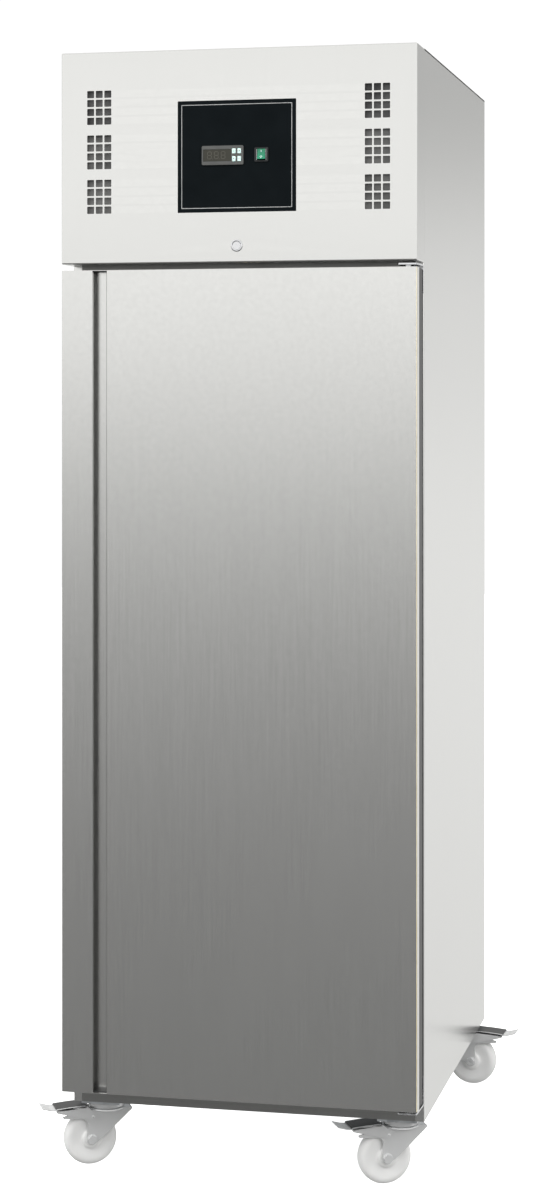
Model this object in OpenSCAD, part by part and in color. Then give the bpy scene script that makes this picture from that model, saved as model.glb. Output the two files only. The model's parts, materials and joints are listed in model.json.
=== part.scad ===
// Reach-in refrigerator: one full-height door, machine compartment on top, four braked swivel castors.
// Origin: floor level, centre of the footprint. X to the right, Y to the back, Z up. Millimetres.

/* [Cabinet] */
// Overall width
cab_w = 650; // [600:1:780]
// Overall depth, door and fascia included
cab_d = 850; // [790:1:1020]
// Overall height on its castors
cab_h = 2030; // [1900:1:2440]
// Height of the underside above the floor
underside = 122; // [118:1:146]
// How far the body front lies behind the door face
setback = 74; // [74:1:88]
// Height of the fascia
fascia_h = 381; // [360:1:457]
// Thickness of the sheet metal
sheet = 1; // [0.8:0.1:1.2]
// Side wall, inner liner to outer face
side_wall = 45; // [40:1:54]
// Back wall, inner liner to outer face
back_wall = 60; // [50:1:72]
// Floor wall, liner to underside
floor_wall = 74; // [70:1:88]
// Roof wall over the food space
roof_wall = 64; // [54:1:70]
// Width of the side panel's folded flanges
flange_w = 16; // [14:1:18]

/* [Door] */
// Gap between door and fascia
door_gap = 11; // [10:1:13]
// Door bottom above the underside
rail_show = 36; // [32:1:43]
// Rigid thickness of the door
door_t = 62; // [56:1:62]
// Depth of the door skin's side returns
skin_return = 18; // [16:1:21]
// Width of the strip left of the handle recess
grip_strip = 58.5; // [50:0.5:70]
// Width of the handle recess
grip_w = 25; // [21:0.5:30]
// Depth of the handle recess
grip_d = 24; // [20:0.5:28]
// Depth of the finger undercut behind the strip
undercut = 14; // [10:1:16]
// Width of the door gasket
gasket_w = 16; // [14:1:17]
// Hinge axis from the right edge of the door
hinge_in_x = 22; // [20:1:23]
// Hinge axis behind the door face
hinge_in_y = 30; // [28:1:34]
// Radius of the hinge pins
hinge_pin_r = 5; // [4:0.5:6]

/* [Controls] */
// Width of the glossy control plate
plate_w = 216; // [190:1:240]
// Height of the control plate
plate_h = 199; // [170:1:225]
// Top of the cabinet to the top of the control plate
plate_drop = 92.5; // [80:0.5:110]
// Side of a vent hole
vent_hole = 13; // [10:0.5:13.5]
// Pitch of the vent holes
vent_pitch = 16; // [15:0.5:18]
// Lock axis above the lower edge of the fascia
lock_rise = 30; // [26:1:36]

/* [Castors] */
// Wheel diameter
wheel_d = 98; // [82:1:100]
// Wheel width
wheel_w = 32; // [26:1:34]
// Distance of the wheel axle behind the swivel axis
trail = 32; // [27:1:36]
// Swivel axis from the side of the cabinet
castor_in_x = 50; // [46:1:70]
// Front swivel axis behind the body front
castor_in_front = 46; // [42:1:70]
// Rear swivel axis in front of the back
castor_in_back = 46; // [42:1:70]
// Radius of the wheel axle bolt
axle_r = 6; // [5:0.5:7]

/* [Interior] */
// Number of wire shelves
shelf_count = 3; // [2:1:4]
// Shelf width, side to side
shelf_w = 530; // [480:1:530]
// Shelf depth, front to back
shelf_d = 650; // [560:1:650]
// Height of the evaporator housing
evap_h = 150; // [130:1:180]

/* [Hidden] */
$fn = 48;

steel = [0.80, 0.80, 0.79];
dark_steel = [0.45, 0.45, 0.45];
zinc = [0.85, 0.86, 0.88];
black = [0.07, 0.07, 0.08];
copper = [0.72, 0.42, 0.25];
nylon = [0.93, 0.93, 0.92];
foam_yellow = [0.88, 0.82, 0.60];

eps = 0.01;
clear = 0.3;      // gap between pieces that move past each other
run_clear = 0.05; // radial running clearance of pins, shafts and axles
part_gap = 0.1;   // gap between pieces that are bolted or bonded together

// Main planes
xr = cab_w / 2;
face_y = -cab_d / 2;
back_y = cab_d / 2;
body_y = face_y + setback;
fascia_z = cab_h - fascia_h;
door_z1 = fascia_z - door_gap;
door_z0 = underside + rail_show;
deck_z = fascia_z + 15;
// Food space
room_x = xr - side_wall;
room_y1 = back_y - back_wall;
room_z0 = underside + floor_wall;
room_z1 = deck_z - roof_wall;
// Door
hinge_x = xr - hinge_in_x;
hinge_y = face_y + hinge_in_y;
grip_x0 = -xr + grip_strip;
grip_x1 = grip_x0 + grip_w;
gasket_lap = 4;
gasket_x = room_x + gasket_lap;
edge_t = 8.5;
edge_in = 1.5;
liner_t = 2;
dike_h = 7;
dike_in = 12;
bush_flange_r = 9;
bracket_t = 3;
bracket_gap = 4;
lock_cam_y = 12;
lock_z = fascia_z + lock_rise;

// ---------------------------------------------------------------- helpers
// Box from its low corner to its high corner
module slab(lo, hi) {
  translate(lo) cube(hi - lo);
}

// Cylinder along Y from y0 to y1
module rod_y(x, y0, y1, z, r) {
  translate([x, y0, z]) rotate([-90, 0, 0]) cylinder(r = r, h = y1 - y0);
}

// Round tube path: straight lengths, with a slightly fuller ball at each corner
module path_tube(points, r) {
  for (i = [0 : len(points) - 2]) {
    a = points[i];
    v = points[i + 1] - a;
    length = norm(v);
    translate(a)
      rotate([0, acos(v[2] / length), atan2(v[1], v[0])])
        cylinder(r = r, h = length, $fn = 32);
  }
  for (i = [1 : len(points) - 2]) translate(points[i]) sphere(r = 1.06 * r, $fn = 32);
}

// Screws: the head lies at the plane, the shank goes along +Z into the piece
screw_r = 2;
screw_hole_r = screw_r + part_gap;
sink_r = 4;
sink_depth = 1.8;
module pan_screw(length) {
  translate([0, 0, -1.5]) cylinder(r = 5, h = 1.5);
  cylinder(r = screw_r, h = length);
}

// Countersunk screw, flush with the sheet, and the hole that it sits in
module flush_screw(length = 10) {
  cylinder(r1 = sink_r, r2 = sink_r - sink_depth, h = sink_depth);
  cylinder(r = screw_r, h = length);
}
module screw_sink() {
  translate([0, 0, -eps]) cylinder(r1 = sink_r + part_gap + eps, r2 = sink_r + part_gap - sink_depth, h = sink_depth + eps);
  cylinder(r = screw_hole_r, h = 12);
}
module back_screws_at(heights) {
  x = xr - flange_w - part_gap - 8;
  for (z = heights, s = [-1, 1]) translate([s * x, back_y, z]) rotate([90, 0, 0]) children();
}
module top_screw_places() {
  x = xr - sheet - part_gap - 12;
  for (s = [-1, 1], y = [body_y + 30, back_y - 30]) translate([s * x, y, cab_h]) rotate([180, 0, 0]) children();
}

// ---------------------------------------------------------------- cabinet shell
module side_panel(side) {
  flange_top = cab_h - sheet - part_gap;
  color(steel) difference() {
    mirror([side < 0 ? 1 : 0, 0, 0]) {
      slab([xr - sheet, body_y, underside], [xr, back_y, cab_h]);
      slab([xr - flange_w, body_y, underside], [xr, body_y + sheet, flange_top]);
      slab([xr - flange_w, back_y - sheet, underside], [xr, back_y, flange_top]);
    }
    bracket_screws(screw_hole_r);
  }
}

module back_panel() {
  x = xr - flange_w - part_gap;
  color(steel) difference() {
    slab([-x, back_y - sheet, underside + sheet], [x, back_y, deck_z]);
    back_screws_at(back_screw_z()) screw_sink();
  }
}

function back_screw_z() = [underside + 60, (underside + deck_z) / 2, deck_z - 60];

rail_w = 72;
rail_t = 5;
castor_z = underside - rail_t;
castor_y_front = body_y + castor_in_front;
castor_y_back = back_y - castor_in_back;
stud_r = 6;
stud_top = underside + 14;

// Positions of the swivel axes and the direction in which each wheel trails
function castor_x(i) = (i % 2 == 0 ? -1 : 1) * (xr - castor_in_x);
function castor_y(i) = i < 2 ? castor_y_front : castor_y_back;
castor_turn = [208, 208, 183.7, -3.7];

module stud_holes(r, z0, z1) {
  for (i = [0 : 3]) translate([castor_x(i), castor_y(i), z0]) cylinder(r = r, h = z1 - z0);
}

module base_pan() {
  color(dark_steel) difference() {
    union() {
      slab([-xr + sheet + part_gap, body_y + sheet + part_gap, underside],
        [xr - sheet - part_gap, back_y - sheet - part_gap, underside + sheet]);
      for (s = [-1, 1])
        slab([s * (xr - castor_in_x) - rail_w / 2, body_y + 4, castor_z],
          [s * (xr - castor_in_x) + rail_w / 2, back_y - 4, underside]);
    }
    stud_holes(stud_r + clear, castor_z - eps, underside + sheet + eps);
    drain_path(drain_r + clear);
  }
}

module ceiling_deck() {
  color(steel) difference() {
    slab([-xr + sheet + part_gap, body_y + sheet + part_gap, deck_z - sheet],
      [xr - sheet - part_gap, back_y - sheet - part_gap, deck_z]);
    pipe_holes(deck_z - sheet - eps, deck_z + eps);
  }
}

module cabinet_foam() {
  in = sheet + part_gap;
  color(foam_yellow) difference() {
    slab([-xr + in, body_y + in, underside + in], [xr - in, back_y - in, deck_z - in]);
    slab([-room_x - part_gap, body_y - eps, room_z0 - part_gap],
      [room_x + part_gap, room_y1 + part_gap, room_z1 + part_gap]);
    stud_holes(stud_r + 4, underside, stud_top + 4);
    pipe_holes(room_z1, deck_z);
    drain_path(drain_r + clear);
    back_screws_at(back_screw_z()) cylinder(r = screw_hole_r + 1, h = 14);
    bracket_screws(4);
  }
}

module inner_liner() {
  color(steel) difference() {
    slab([-room_x, body_y + sheet + part_gap, room_z0], [room_x, room_y1, room_z1]);
    slab([-room_x + sheet, body_y - eps, room_z0 + sheet], [room_x - sheet, room_y1 - sheet, room_z1 - sheet]);
    pipe_holes(room_z1 - 2 * sheet, room_z1 + eps);
    drain_path(drain_r + clear);
  }
}

module front_frame() {
  x = xr - flange_w - part_gap;
  color(steel) difference() {
    slab([-x, body_y, underside], [x, body_y + sheet, deck_z - sheet - part_gap]);
    slab([-room_x + sheet, body_y - eps, room_z0 + sheet], [room_x - sheet, body_y + 2 * sheet, room_z1 - sheet]);
  }
}

// Six groups of square vent holes, three on each side
vent_columns = 3;
vent_rows = 4;
vent_group_pitch = 80;
vent_first_x = 55;
vent_first_z = 76;

module vent_holes(depth) {
  for (s = [-1, 1], g = [0 : 2], c = [0 : vent_columns - 1], r = [0 : vent_rows - 1])
    translate([s * (xr - vent_first_x - c * vent_pitch), face_y, cab_h - vent_first_z - g * vent_group_pitch - r * vent_pitch])
      cube([vent_hole, depth, vent_hole], center = true);
}

module fascia_panel() {
  x = xr;
  slot_z = lock_z - lock_reach;
  color(steel) difference() {
    slab([-x, face_y, fascia_z], [x, body_y - part_gap, cab_h]);
    slab([-x + sheet, face_y + sheet, fascia_z + sheet], [x - sheet, body_y + eps, cab_h - sheet]);
    vent_holes(4 * sheet);
    slab([control_x - case_w / 2, face_y - eps, control_z - case_h / 2],
      [control_x + case_w / 2, face_y + 2 * sheet, control_z + case_h / 2]);
    slab([switch_x - switch_cut / 2, face_y - eps, control_z - switch_cut / 2],
      [switch_x + switch_cut / 2, face_y + 2 * sheet, control_z + switch_cut / 2]);
    rod_y(0, face_y - eps, face_y + 2 * sheet, lock_z, lock_body_r + part_gap);
    slab([-lock_cam_w, face_y + lock_cam_y - 2, fascia_z - eps],
      [lock_reach, face_y + lock_cam_y + 4, fascia_z + 2 * sheet]);
  }
}

top_slots = 9;
module top_cover() {
  x = xr - sheet - part_gap;
  color(steel) difference() {
    slab([-x, body_y, cab_h - sheet], [x, back_y - sheet - part_gap, cab_h]);
    for (i = [0 : top_slots - 1])
      slab([-0.6 * xr, back_y - 60 - i * 18, cab_h - 2 * sheet], [0.6 * xr, back_y - 52 - i * 18, cab_h + eps]);
    top_screw_places() screw_sink();
  }
}

grille_rows = 12;
gland_x = xr - 70;
gland_z = deck_z + 40;
gland_r = 11;
module rear_grille() {
  x = xr - flange_w - part_gap;
  z1 = cab_h - sheet - part_gap;
  pitch = (z1 - deck_z - 60) / grille_rows;
  color(steel) difference() {
    slab([-x, back_y - sheet, deck_z + part_gap], [x, back_y, z1]);
    for (r = [0 : grille_rows - 1], c = [-1, 0, 1])
      slab([c * 0.58 * xr - 0.25 * xr, back_y - 2 * sheet, deck_z + 30 + r * pitch],
        [c * 0.58 * xr + 0.25 * xr, back_y + eps, deck_z + 30 + r * pitch + 8]);
    rod_y(gland_x, back_y - 2 * sheet, back_y + eps, gland_z, gland_r);
    back_screws_at(grille_screw_z()) screw_sink();
  }
}
function grille_screw_z() = [deck_z + 14, cab_h - 20];

gland_bore_r = 5;
gland_len = 24;
module cable_gland() {
  color(black) difference() {
    union() {
      rod_y(gland_x, back_y - gland_len + 1, back_y - sheet, gland_z, gland_r - part_gap);
      rod_y(gland_x, back_y - sheet, back_y, gland_z, gland_r - part_gap);
      rod_y(gland_x, back_y - sheet - part_gap - 3, back_y - sheet - part_gap, gland_z, gland_r + 3);
    }
    rod_y(gland_x, back_y - gland_len, back_y + eps, gland_z, gland_bore_r);
  }
}

module cabinet_screws() {
  color(zinc) {
    back_screws_at(concat(back_screw_z(), grille_screw_z())) flush_screw();
    top_screw_places() flush_screw();
    bracket_screw_places() pan_screw(14);
  }
}

// ---------------------------------------------------------------- controls
control_x = -25;
control_z = cab_h - plate_drop - plate_h / 2 + 1.5;
plate_t = 1;
plate_y = face_y - plate_t;
case_w = 71;
case_h = 29;
case_bezel_w = 76;
case_bezel_h = 34;
case_bezel_t = 3;
case_depth = 55;
window_w = 51.5;
window_h = 21.5;
window_x = control_x - 9.8;
button_w = 6.4;
button_h = 9;
button_travel = 0.8;
button_play = 0.2;
switch_x = 45.5;
switch_cut = 22.5;
switch_frame_w = 25;
switch_frame_t = 2;
rocker_w = 14.4;
rocker_h = 19;
rocker_swing_r = 10.4;
rocker_rest = -8;
lock_body_r = 9.5;
lock_rim_r = 11;
lock_barrel_r = 7;
lock_len = 10;
lock_cam_w = 8;
lock_reach = lock_z - door_z1 + 10;

module control_plate() {
  z1 = cab_h - plate_drop;
  color(black) difference() {
    slab([-plate_w / 2, plate_y, z1 - plate_h], [plate_w / 2, face_y - eps, z1]);
    slab([control_x - case_w / 2, plate_y - eps, control_z - case_h / 2],
      [control_x + case_w / 2, face_y + eps, control_z + case_h / 2]);
    slab([switch_x - switch_cut / 2, plate_y - eps, control_z - switch_cut / 2],
      [switch_x + switch_cut / 2, face_y + eps, control_z + switch_cut / 2]);
  }
}

// Places of the four buttons: two columns, two rows
function button_x(i) = control_x + 20.8 + (i % 2) * 9.8;
function button_z(i) = control_z + 7 - floor(i / 2) * 13.6;

module controller_case() {
  y0 = plate_y - case_bezel_t;
  pocket_w = button_w + 2 * button_play;
  pocket_h = button_h + 2 * button_play;
  color(black) difference() {
    union() {
      slab([control_x - case_bezel_w / 2, y0, control_z - case_bezel_h / 2],
        [control_x + case_bezel_w / 2, plate_y - eps, control_z + case_bezel_h / 2]);
      slab([control_x - case_w / 2 + clear, plate_y - eps, control_z - case_h / 2 + clear],
        [control_x + case_w / 2 - clear, face_y + case_depth, control_z + case_h / 2 - clear]);
    }
    slab([window_x - window_w / 2, y0 - eps, control_z - window_h / 2],
      [window_x + window_w / 2, y0 + 2, control_z + window_h / 2]);
    for (i = [0 : 3])
      translate([button_x(i) - pocket_w / 2, y0 - eps, button_z(i) - pocket_h / 2])
        cube([pocket_w, 5, pocket_h]);
  }
}

module controller_display() {
  y0 = plate_y - case_bezel_t;
  color([0.16, 0.17, 0.15])
    slab([window_x - window_w / 2 + part_gap, y0 + 0.4, control_z - window_h / 2 + part_gap],
      [window_x + window_w / 2 - part_gap, y0 + 2, control_z + window_h / 2 - part_gap]);
}

module controller_button(i) {
  y0 = plate_y - case_bezel_t - button_travel;
  color([0.85, 0.87, 0.88])
    translate([button_x(i) - button_w / 2, y0, button_z(i) - button_h / 2]) cube([button_w, 4.6, button_h]);
}

module switch_bezel() {
  y0 = plate_y - switch_frame_t;
  hole_w = rocker_w + 2 * clear;
  hole_h = 2 * rocker_swing_r + 2 * clear;
  color(black) difference() {
    union() {
      slab([switch_x - switch_frame_w / 2, y0, control_z - switch_frame_w / 2],
        [switch_x + switch_frame_w / 2, plate_y - eps, control_z + switch_frame_w / 2]);
      slab([switch_x - switch_cut / 2 + part_gap, plate_y - eps, control_z - switch_cut / 2 + part_gap],
        [switch_x + switch_cut / 2 - part_gap, face_y + 22, control_z + switch_cut / 2 - part_gap]);
    }
    slab([switch_x - hole_w / 2, y0 - eps, control_z - hole_h / 2],
      [switch_x + hole_w / 2, face_y + 18, control_z + hole_h / 2]);
  }
}

rocker_pivot_y = face_y + 2;
module switch_rocker() {
  front = rocker_pivot_y - (plate_y - switch_frame_t) + 1.2;
  color([0.05, 0.55, 0.25])
    translate([switch_x - rocker_w / 2, rocker_pivot_y, control_z]) rotate([rocker_rest, 0, 0])
      rotate([90, 0, 90]) linear_extrude(rocker_w) intersection() {
        circle(r = rocker_swing_r);
        polygon([[-front - 1, -rocker_h / 2], [-front + 0.6, 0], [-front - 1, rocker_h / 2],
          [6, rocker_h / 2], [6, -rocker_h / 2]]);
      }
}

module lock_body() {
  color(zinc) difference() {
    union() {
      rod_y(0, face_y - 1.6, face_y - part_gap, lock_z, lock_rim_r);
      rod_y(0, face_y - part_gap - eps, face_y + lock_len, lock_z, lock_body_r);
    }
    rod_y(0, face_y - 3, face_y + lock_len + eps, lock_z, lock_barrel_r + run_clear);
  }
}

// Rest: unlocked, cam level. A quarter turn swings the cam down into the door.
module lock_barrel() {
  cam_y0 = face_y + lock_len + clear;
  color(zinc) difference() {
    union() {
      rod_y(0, face_y - 1.2, cam_y0 + 1, lock_z, lock_barrel_r);
      hull() {
        rod_y(0, cam_y0, cam_y0 + 2.5, lock_z, lock_cam_w / 2 + 2);
        translate([lock_reach - 4, cam_y0, lock_z - 3]) cube([2, 2.5, 6]);
      }
    }
    slab([-0.9, face_y - 2, lock_z - 4], [0.9, face_y + 4, lock_z + 4]);
    rod_y(0, face_y - 2, face_y + 4, lock_z, 1.9);
  }
}

// ---------------------------------------------------------------- food space
upright_d = 11;
upright_w = 24;
post_y = [body_y + 70, room_y1 - 70];
runner_t = 1.2;
runner_x = shelf_w / 2 + 1;
shelf_y0 = room_y1 - sheet - 12 - shelf_d;
evap_z = room_z1 - sheet - evap_h;
shelf_z0 = room_z0 + 280;
shelf_step = (evap_z - shelf_z0 - 30) / (shelf_count - 0.05);
upright_top = evap_z - 20;
function shelf_z(i) = shelf_z0 + i * shelf_step;

module shelf_uprights() {
  x0 = room_x - sheet - part_gap - upright_d;
  slots = floor((upright_top - room_z0 - 80) / 60);
  color(steel) for (s = [-1, 1], y = post_y) mirror([s < 0 ? 1 : 0, 0, 0]) difference() {
    slab([x0, y - upright_w / 2, room_z0 + sheet + 20], [x0 + upright_d, y + upright_w / 2, upright_top]);
    slab([x0 + 1.5, y - upright_w / 2 + 1.5, room_z0], [x0 + upright_d + eps, y + upright_w / 2 - 1.5, upright_top + eps]);
    for (k = [0 : slots - 1])
      slab([x0 - eps, y - 6, room_z0 + 60 + k * 60], [x0 + 2, y + 6, room_z0 + 68 + k * 60]);
  }
}

module shelf_runners() {
  seat = room_x - sheet - 2 * part_gap - upright_d;
  color(steel) for (i = [0 : shelf_count - 1], s = [-1, 1]) mirror([s < 0 ? 1 : 0, 0, 0]) {
    slab([runner_x - 16, shelf_y0, shelf_z(i) - runner_t], [seat, shelf_y0 + shelf_d, shelf_z(i)]);
    slab([seat - runner_t, shelf_y0, shelf_z(i) - runner_t], [seat, shelf_y0 + shelf_d, shelf_z(i) + 18]);
  }
}

rim_wire_r = 3.5;
wire_r = 1.8;
cross_wires = 21;
module wire_shelf(z) {
  x = shelf_w / 2 - rim_wire_r;
  y0 = shelf_y0 + rim_wire_r;
  y1 = shelf_y0 + shelf_d - rim_wire_r;
  zc = z + rim_wire_r + part_gap;
  for (s = [-1, 1]) rod_y(s * x, y0, y1, zc, rim_wire_r, $fn = 8);
  for (y = [y0, (y0 + y1) / 2, y1])
    translate([-x, y, zc]) rotate([0, 90, 0]) cylinder(r = rim_wire_r, h = 2 * x, $fn = 8);
  for (i = [0 : cross_wires - 1])
    rod_y(-x + (i + 1) * 2 * x / (cross_wires + 1), y0, y1, zc + rim_wire_r, wire_r, $fn = 8);
}

module wire_shelves() {
  color(zinc) for (i = [0 : shelf_count - 1]) wire_shelf(shelf_z(i));
}

// Evaporator under the roof of the food space
evap_x = 240;
evap_y0 = room_y1 - 330;
evap_y1 = room_y1 - sheet - 4;
evap_fan_x = 0;
evap_fan_y = evap_y0 + 34;
evap_fan_z = evap_z + evap_h / 2 + 2;
evap_fan_r = 58;
module evaporator_housing() {
  z1 = room_z1 - sheet - part_gap;
  color(steel) difference() {
    slab([-evap_x, evap_y0, evap_z], [evap_x, evap_y1, z1]);
    slab([-evap_x + 1.5, evap_y0 + 1.5, evap_z + 1.5], [evap_x - 1.5, evap_y1 - 1.5, z1 + eps]);
    for (s = [-1, 1]) rod_y(s * evap_fan_x, evap_y0 - eps, evap_y0 + 3, evap_fan_z, evap_fan_r + 4);
    for (i = [0 : 7])
      slab([-evap_x + 40, evap_y0 + 150 + i * 18, evap_z - eps], [evap_x - 40, evap_y0 + 158 + i * 18, evap_z + 2]);
    drain_path(drain_r + clear);
  }
}
coil_fins = 18;
module fin_coil(lo, hi, rows, fin_count) {
  step = (hi[0] - lo[0]) / (fin_count - 1);
  for (i = [0 : fin_count - 1])
    slab([lo[0] + i * step - 1, lo[1], lo[2]], [lo[0] + i * step + 1, hi[1], hi[2]]);
  for (r = [0 : rows - 1], y = [lo[1] + 16, hi[1] - 16])
    translate([lo[0] - 10, y, lo[2] + 20 + r * (hi[2] - lo[2] - 40) / (rows - 1)])
      rotate([0, 90, 0]) cylinder(r = 4.5, h = hi[0] - lo[0] + 20, $fn = 24);
}

evap_coil_y0 = evap_y0 + 140;
module evaporator_coil() {
  color(zinc) {
    fin_coil([-200, evap_coil_y0, evap_z + 14], [200, evap_coil_y0 + 110, evap_z + evap_h - 12], 4, coil_fins);
    for (s = [-1, 1])
      slab([s * 212 - 5, evap_coil_y0 + 10, evap_z + 1.6], [s * 212 + 5, evap_coil_y0 + 100, evap_z + evap_h - 20]);
  }
}

// Axial fan blade: hub, pitched blades and a bore for the motor shaft, axis along Y
shaft_r = 4;
module fan_blade(r_out, r_hub, blades, depth) {
  difference() {
    union() {
      rotate([-90, 0, 0]) cylinder(r = r_hub, h = depth);
      intersection() {
        rotate([-90, 0, 0]) cylinder(r = r_out, h = depth);
        for (i = [0 : blades - 1])
          rotate([0, i * 360 / blades, 0]) translate([0, depth / 2, r_hub - 4]) rotate([0, 0, 32])
            translate([-r_out * 0.32, -0.9, 0]) cube([r_out * 0.64, 1.8, r_out]);
      }
    }
    translate([0, -eps, 0]) rotate([-90, 0, 0]) cylinder(r = shaft_r + run_clear, h = depth + 1);
  }
}

// Motor with a shaft towards the front, held by arms on a ring; the ring faces the front
module fan_motor(r_ring, r_motor, motor_len, shaft_len) {
  rotate([-90, 0, 0]) cylinder(r = r_motor, h = motor_len);
  translate([0, -shaft_len, 0]) rotate([-90, 0, 0]) cylinder(r = shaft_r, h = shaft_len + eps);
  for (i = [0 : 3]) rotate([0, 45 + i * 90, 0]) translate([r_motor / 2, 6.5, -5]) cube([r_ring - r_motor / 2, 2, 10]);
  translate([0, 6, 0]) rotate([-90, 0, 0]) difference() {
    cylinder(r = r_ring + 4, h = 3);
    translate([0, 0, -1]) cylinder(r = r_ring - 4, h = 5);
  }
}

evap_blade_depth = 20;
module evaporator_fan_motor() {
  y0 = evap_fan_y + evap_blade_depth / 2 + 4;
  foot_z = evap_z + 1.5 + part_gap;
  color(dark_steel) {
    translate([evap_fan_x, y0, evap_fan_z]) fan_motor(evap_fan_r, 24, 40, evap_blade_depth + 4);
    slab([evap_fan_x - 30, y0 + 6.5, foot_z], [evap_fan_x + 30, y0 + 8.5, evap_fan_z - evap_fan_r + 4]);
    slab([evap_fan_x - 32, y0 + 5, foot_z], [evap_fan_x + 32, y0 + 30, foot_z + 2]);
  }
}

module evaporator_fan_blade() {
  color(black) translate([evap_fan_x, evap_fan_y - evap_blade_depth / 2, evap_fan_z])
    fan_blade(evap_fan_r, 16, 5, evap_blade_depth);
}

// Drain: a level spout from the evaporator housing into a riser inside the back wall
drain_r = 8;
drain_wall = 1.5;
drain_y = room_y1 + back_wall / 2;
drain_spout_z = evap_z + 12;
module drain_path(r) {
  rod_y(0, evap_y1 - 8, drain_y, drain_spout_z, r - 0.5);
  translate([0, drain_y, underside - 8]) cylinder(r = r, h = drain_spout_z + 14 - underside + 8);
}
module drain_pipe() {
  color([0.8, 0.8, 0.8]) difference() {
    drain_path(drain_r);
    rod_y(0, evap_y1 - 9, drain_y, drain_spout_z, drain_r - 0.5 - drain_wall);
    translate([0, drain_y, underside - 9]) cylinder(r = drain_r - drain_wall, h = drain_spout_z + 12 - underside + 9);
  }
}

// ---------------------------------------------------------------- machine compartment
tray_x = xr - 55;
tray_z = deck_z + part_gap;
tray_t = 2;
tray_y0 = body_y + 20;
tray_y1 = back_y - 50;
module unit_tray() {
  color(zinc) difference() {
    slab([-tray_x, tray_y0, tray_z], [tray_x, tray_y1, tray_z + 14]);
    slab([-tray_x + tray_t, tray_y0 + tray_t, tray_z + tray_t], [tray_x - tray_t, tray_y1 - tray_t, tray_z + 15]);
    pipe_holes(tray_z - eps, tray_z + tray_t + eps);
  }
}

floor_z = tray_z + tray_t;
cond_y0 = tray_y0 + 14;
cond_y1 = cond_y0 + 66;
cond_x = 165;
cond_h = 262;
cond_z0 = floor_z + 8;
module condenser_coil() {
  color(zinc) {
    fin_coil([-cond_x, cond_y0, cond_z0], [cond_x, cond_y1, cond_z0 + cond_h], 8, 20);
    for (s = [-1, 1])
      slab([s * (cond_x + 8) - 2, cond_y0, floor_z + part_gap], [s * (cond_x + 8) + 2, cond_y1, cond_z0 + cond_h]);
  }
}

cond_fan_r = 105;
cond_fan_z = cond_z0 + cond_h / 2;
cond_fan_y = cond_y1 + 34;
cond_blade_depth = 30;
module condenser_fan_frame() {
  y_plate = cond_y1 + part_gap;
  y_motor = cond_fan_y + cond_blade_depth / 2 + 6;
  color(dark_steel) {
    difference() {
      slab([-cond_x - 10, y_plate, floor_z + part_gap], [cond_x + 10, y_motor + 9, cond_z0 + cond_h]);
      slab([-cond_x - 8, y_plate + 2, floor_z - eps], [cond_x + 8, y_motor + 10, cond_z0 + cond_h - 2]);
      rod_y(0, y_plate - 1, y_plate + 3, cond_fan_z, cond_fan_r + 5);
    }
    translate([0, y_motor, cond_fan_z]) fan_motor(cond_fan_r, 36, 52, cond_blade_depth + 6);
    for (s = [-1, 1])
      slab([s < 0 ? -cond_x - 9 : cond_fan_r + 2, y_motor + 6.5, cond_fan_z - 8],
        [s < 0 ? -cond_fan_r - 2 : cond_x + 9, y_motor + 8.5, cond_fan_z + 8]);
  }
}

module condenser_fan_blade() {
  color(black) translate([0, cond_fan_y - cond_blade_depth / 2, cond_fan_z])
    fan_blade(cond_fan_r, 28, 5, cond_blade_depth);
}

comp = [95, tray_y0 + 340, floor_z];
comp_r = 72;
comp_h = 150;
comp_foot = 15;
comp_bolt = 78;
module comp_corners() {
  for (sx = [-1, 1], sy = [-1, 1]) translate(comp + [sx * comp_bolt, sy * comp_bolt, 0]) children();
}
module compressor() {
  color(black) difference() {
    union() {
      translate(comp + [0, 0, comp_foot + 12]) rotate_extrude() {
        square([comp_r, comp_h - 36]);
        translate([0, comp_h - 36]) intersection() {
          circle(r = comp_r);
          square([comp_r, 34]);
        }
      }
      translate(comp + [-comp_bolt - 16, -comp_bolt - 16, comp_foot + part_gap])
        cube([2 * comp_bolt + 32, 2 * comp_bolt + 32, 3]);
      translate(comp + [0, 0, comp_foot + 3]) cylinder(r = comp_r - 14, h = 10);
      translate(comp + [-26, -comp_r - 24, comp_foot + 50]) cube([52, 40, 56]);
    }
    comp_corners() translate([0, 0, comp_foot - 1]) cylinder(r = 5, h = 6);
  }
}

module compressor_grommets() {
  color([0.15, 0.15, 0.15]) comp_corners() translate([0, 0, part_gap]) {
    cylinder(r = 12, h = comp_foot - part_gap);
    cylinder(r = 4.6, h = comp_foot + 8);
    translate([0, 0, comp_foot + 3 + 2 * part_gap]) cylinder(r = 9, h = 5);
  }
}

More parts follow.
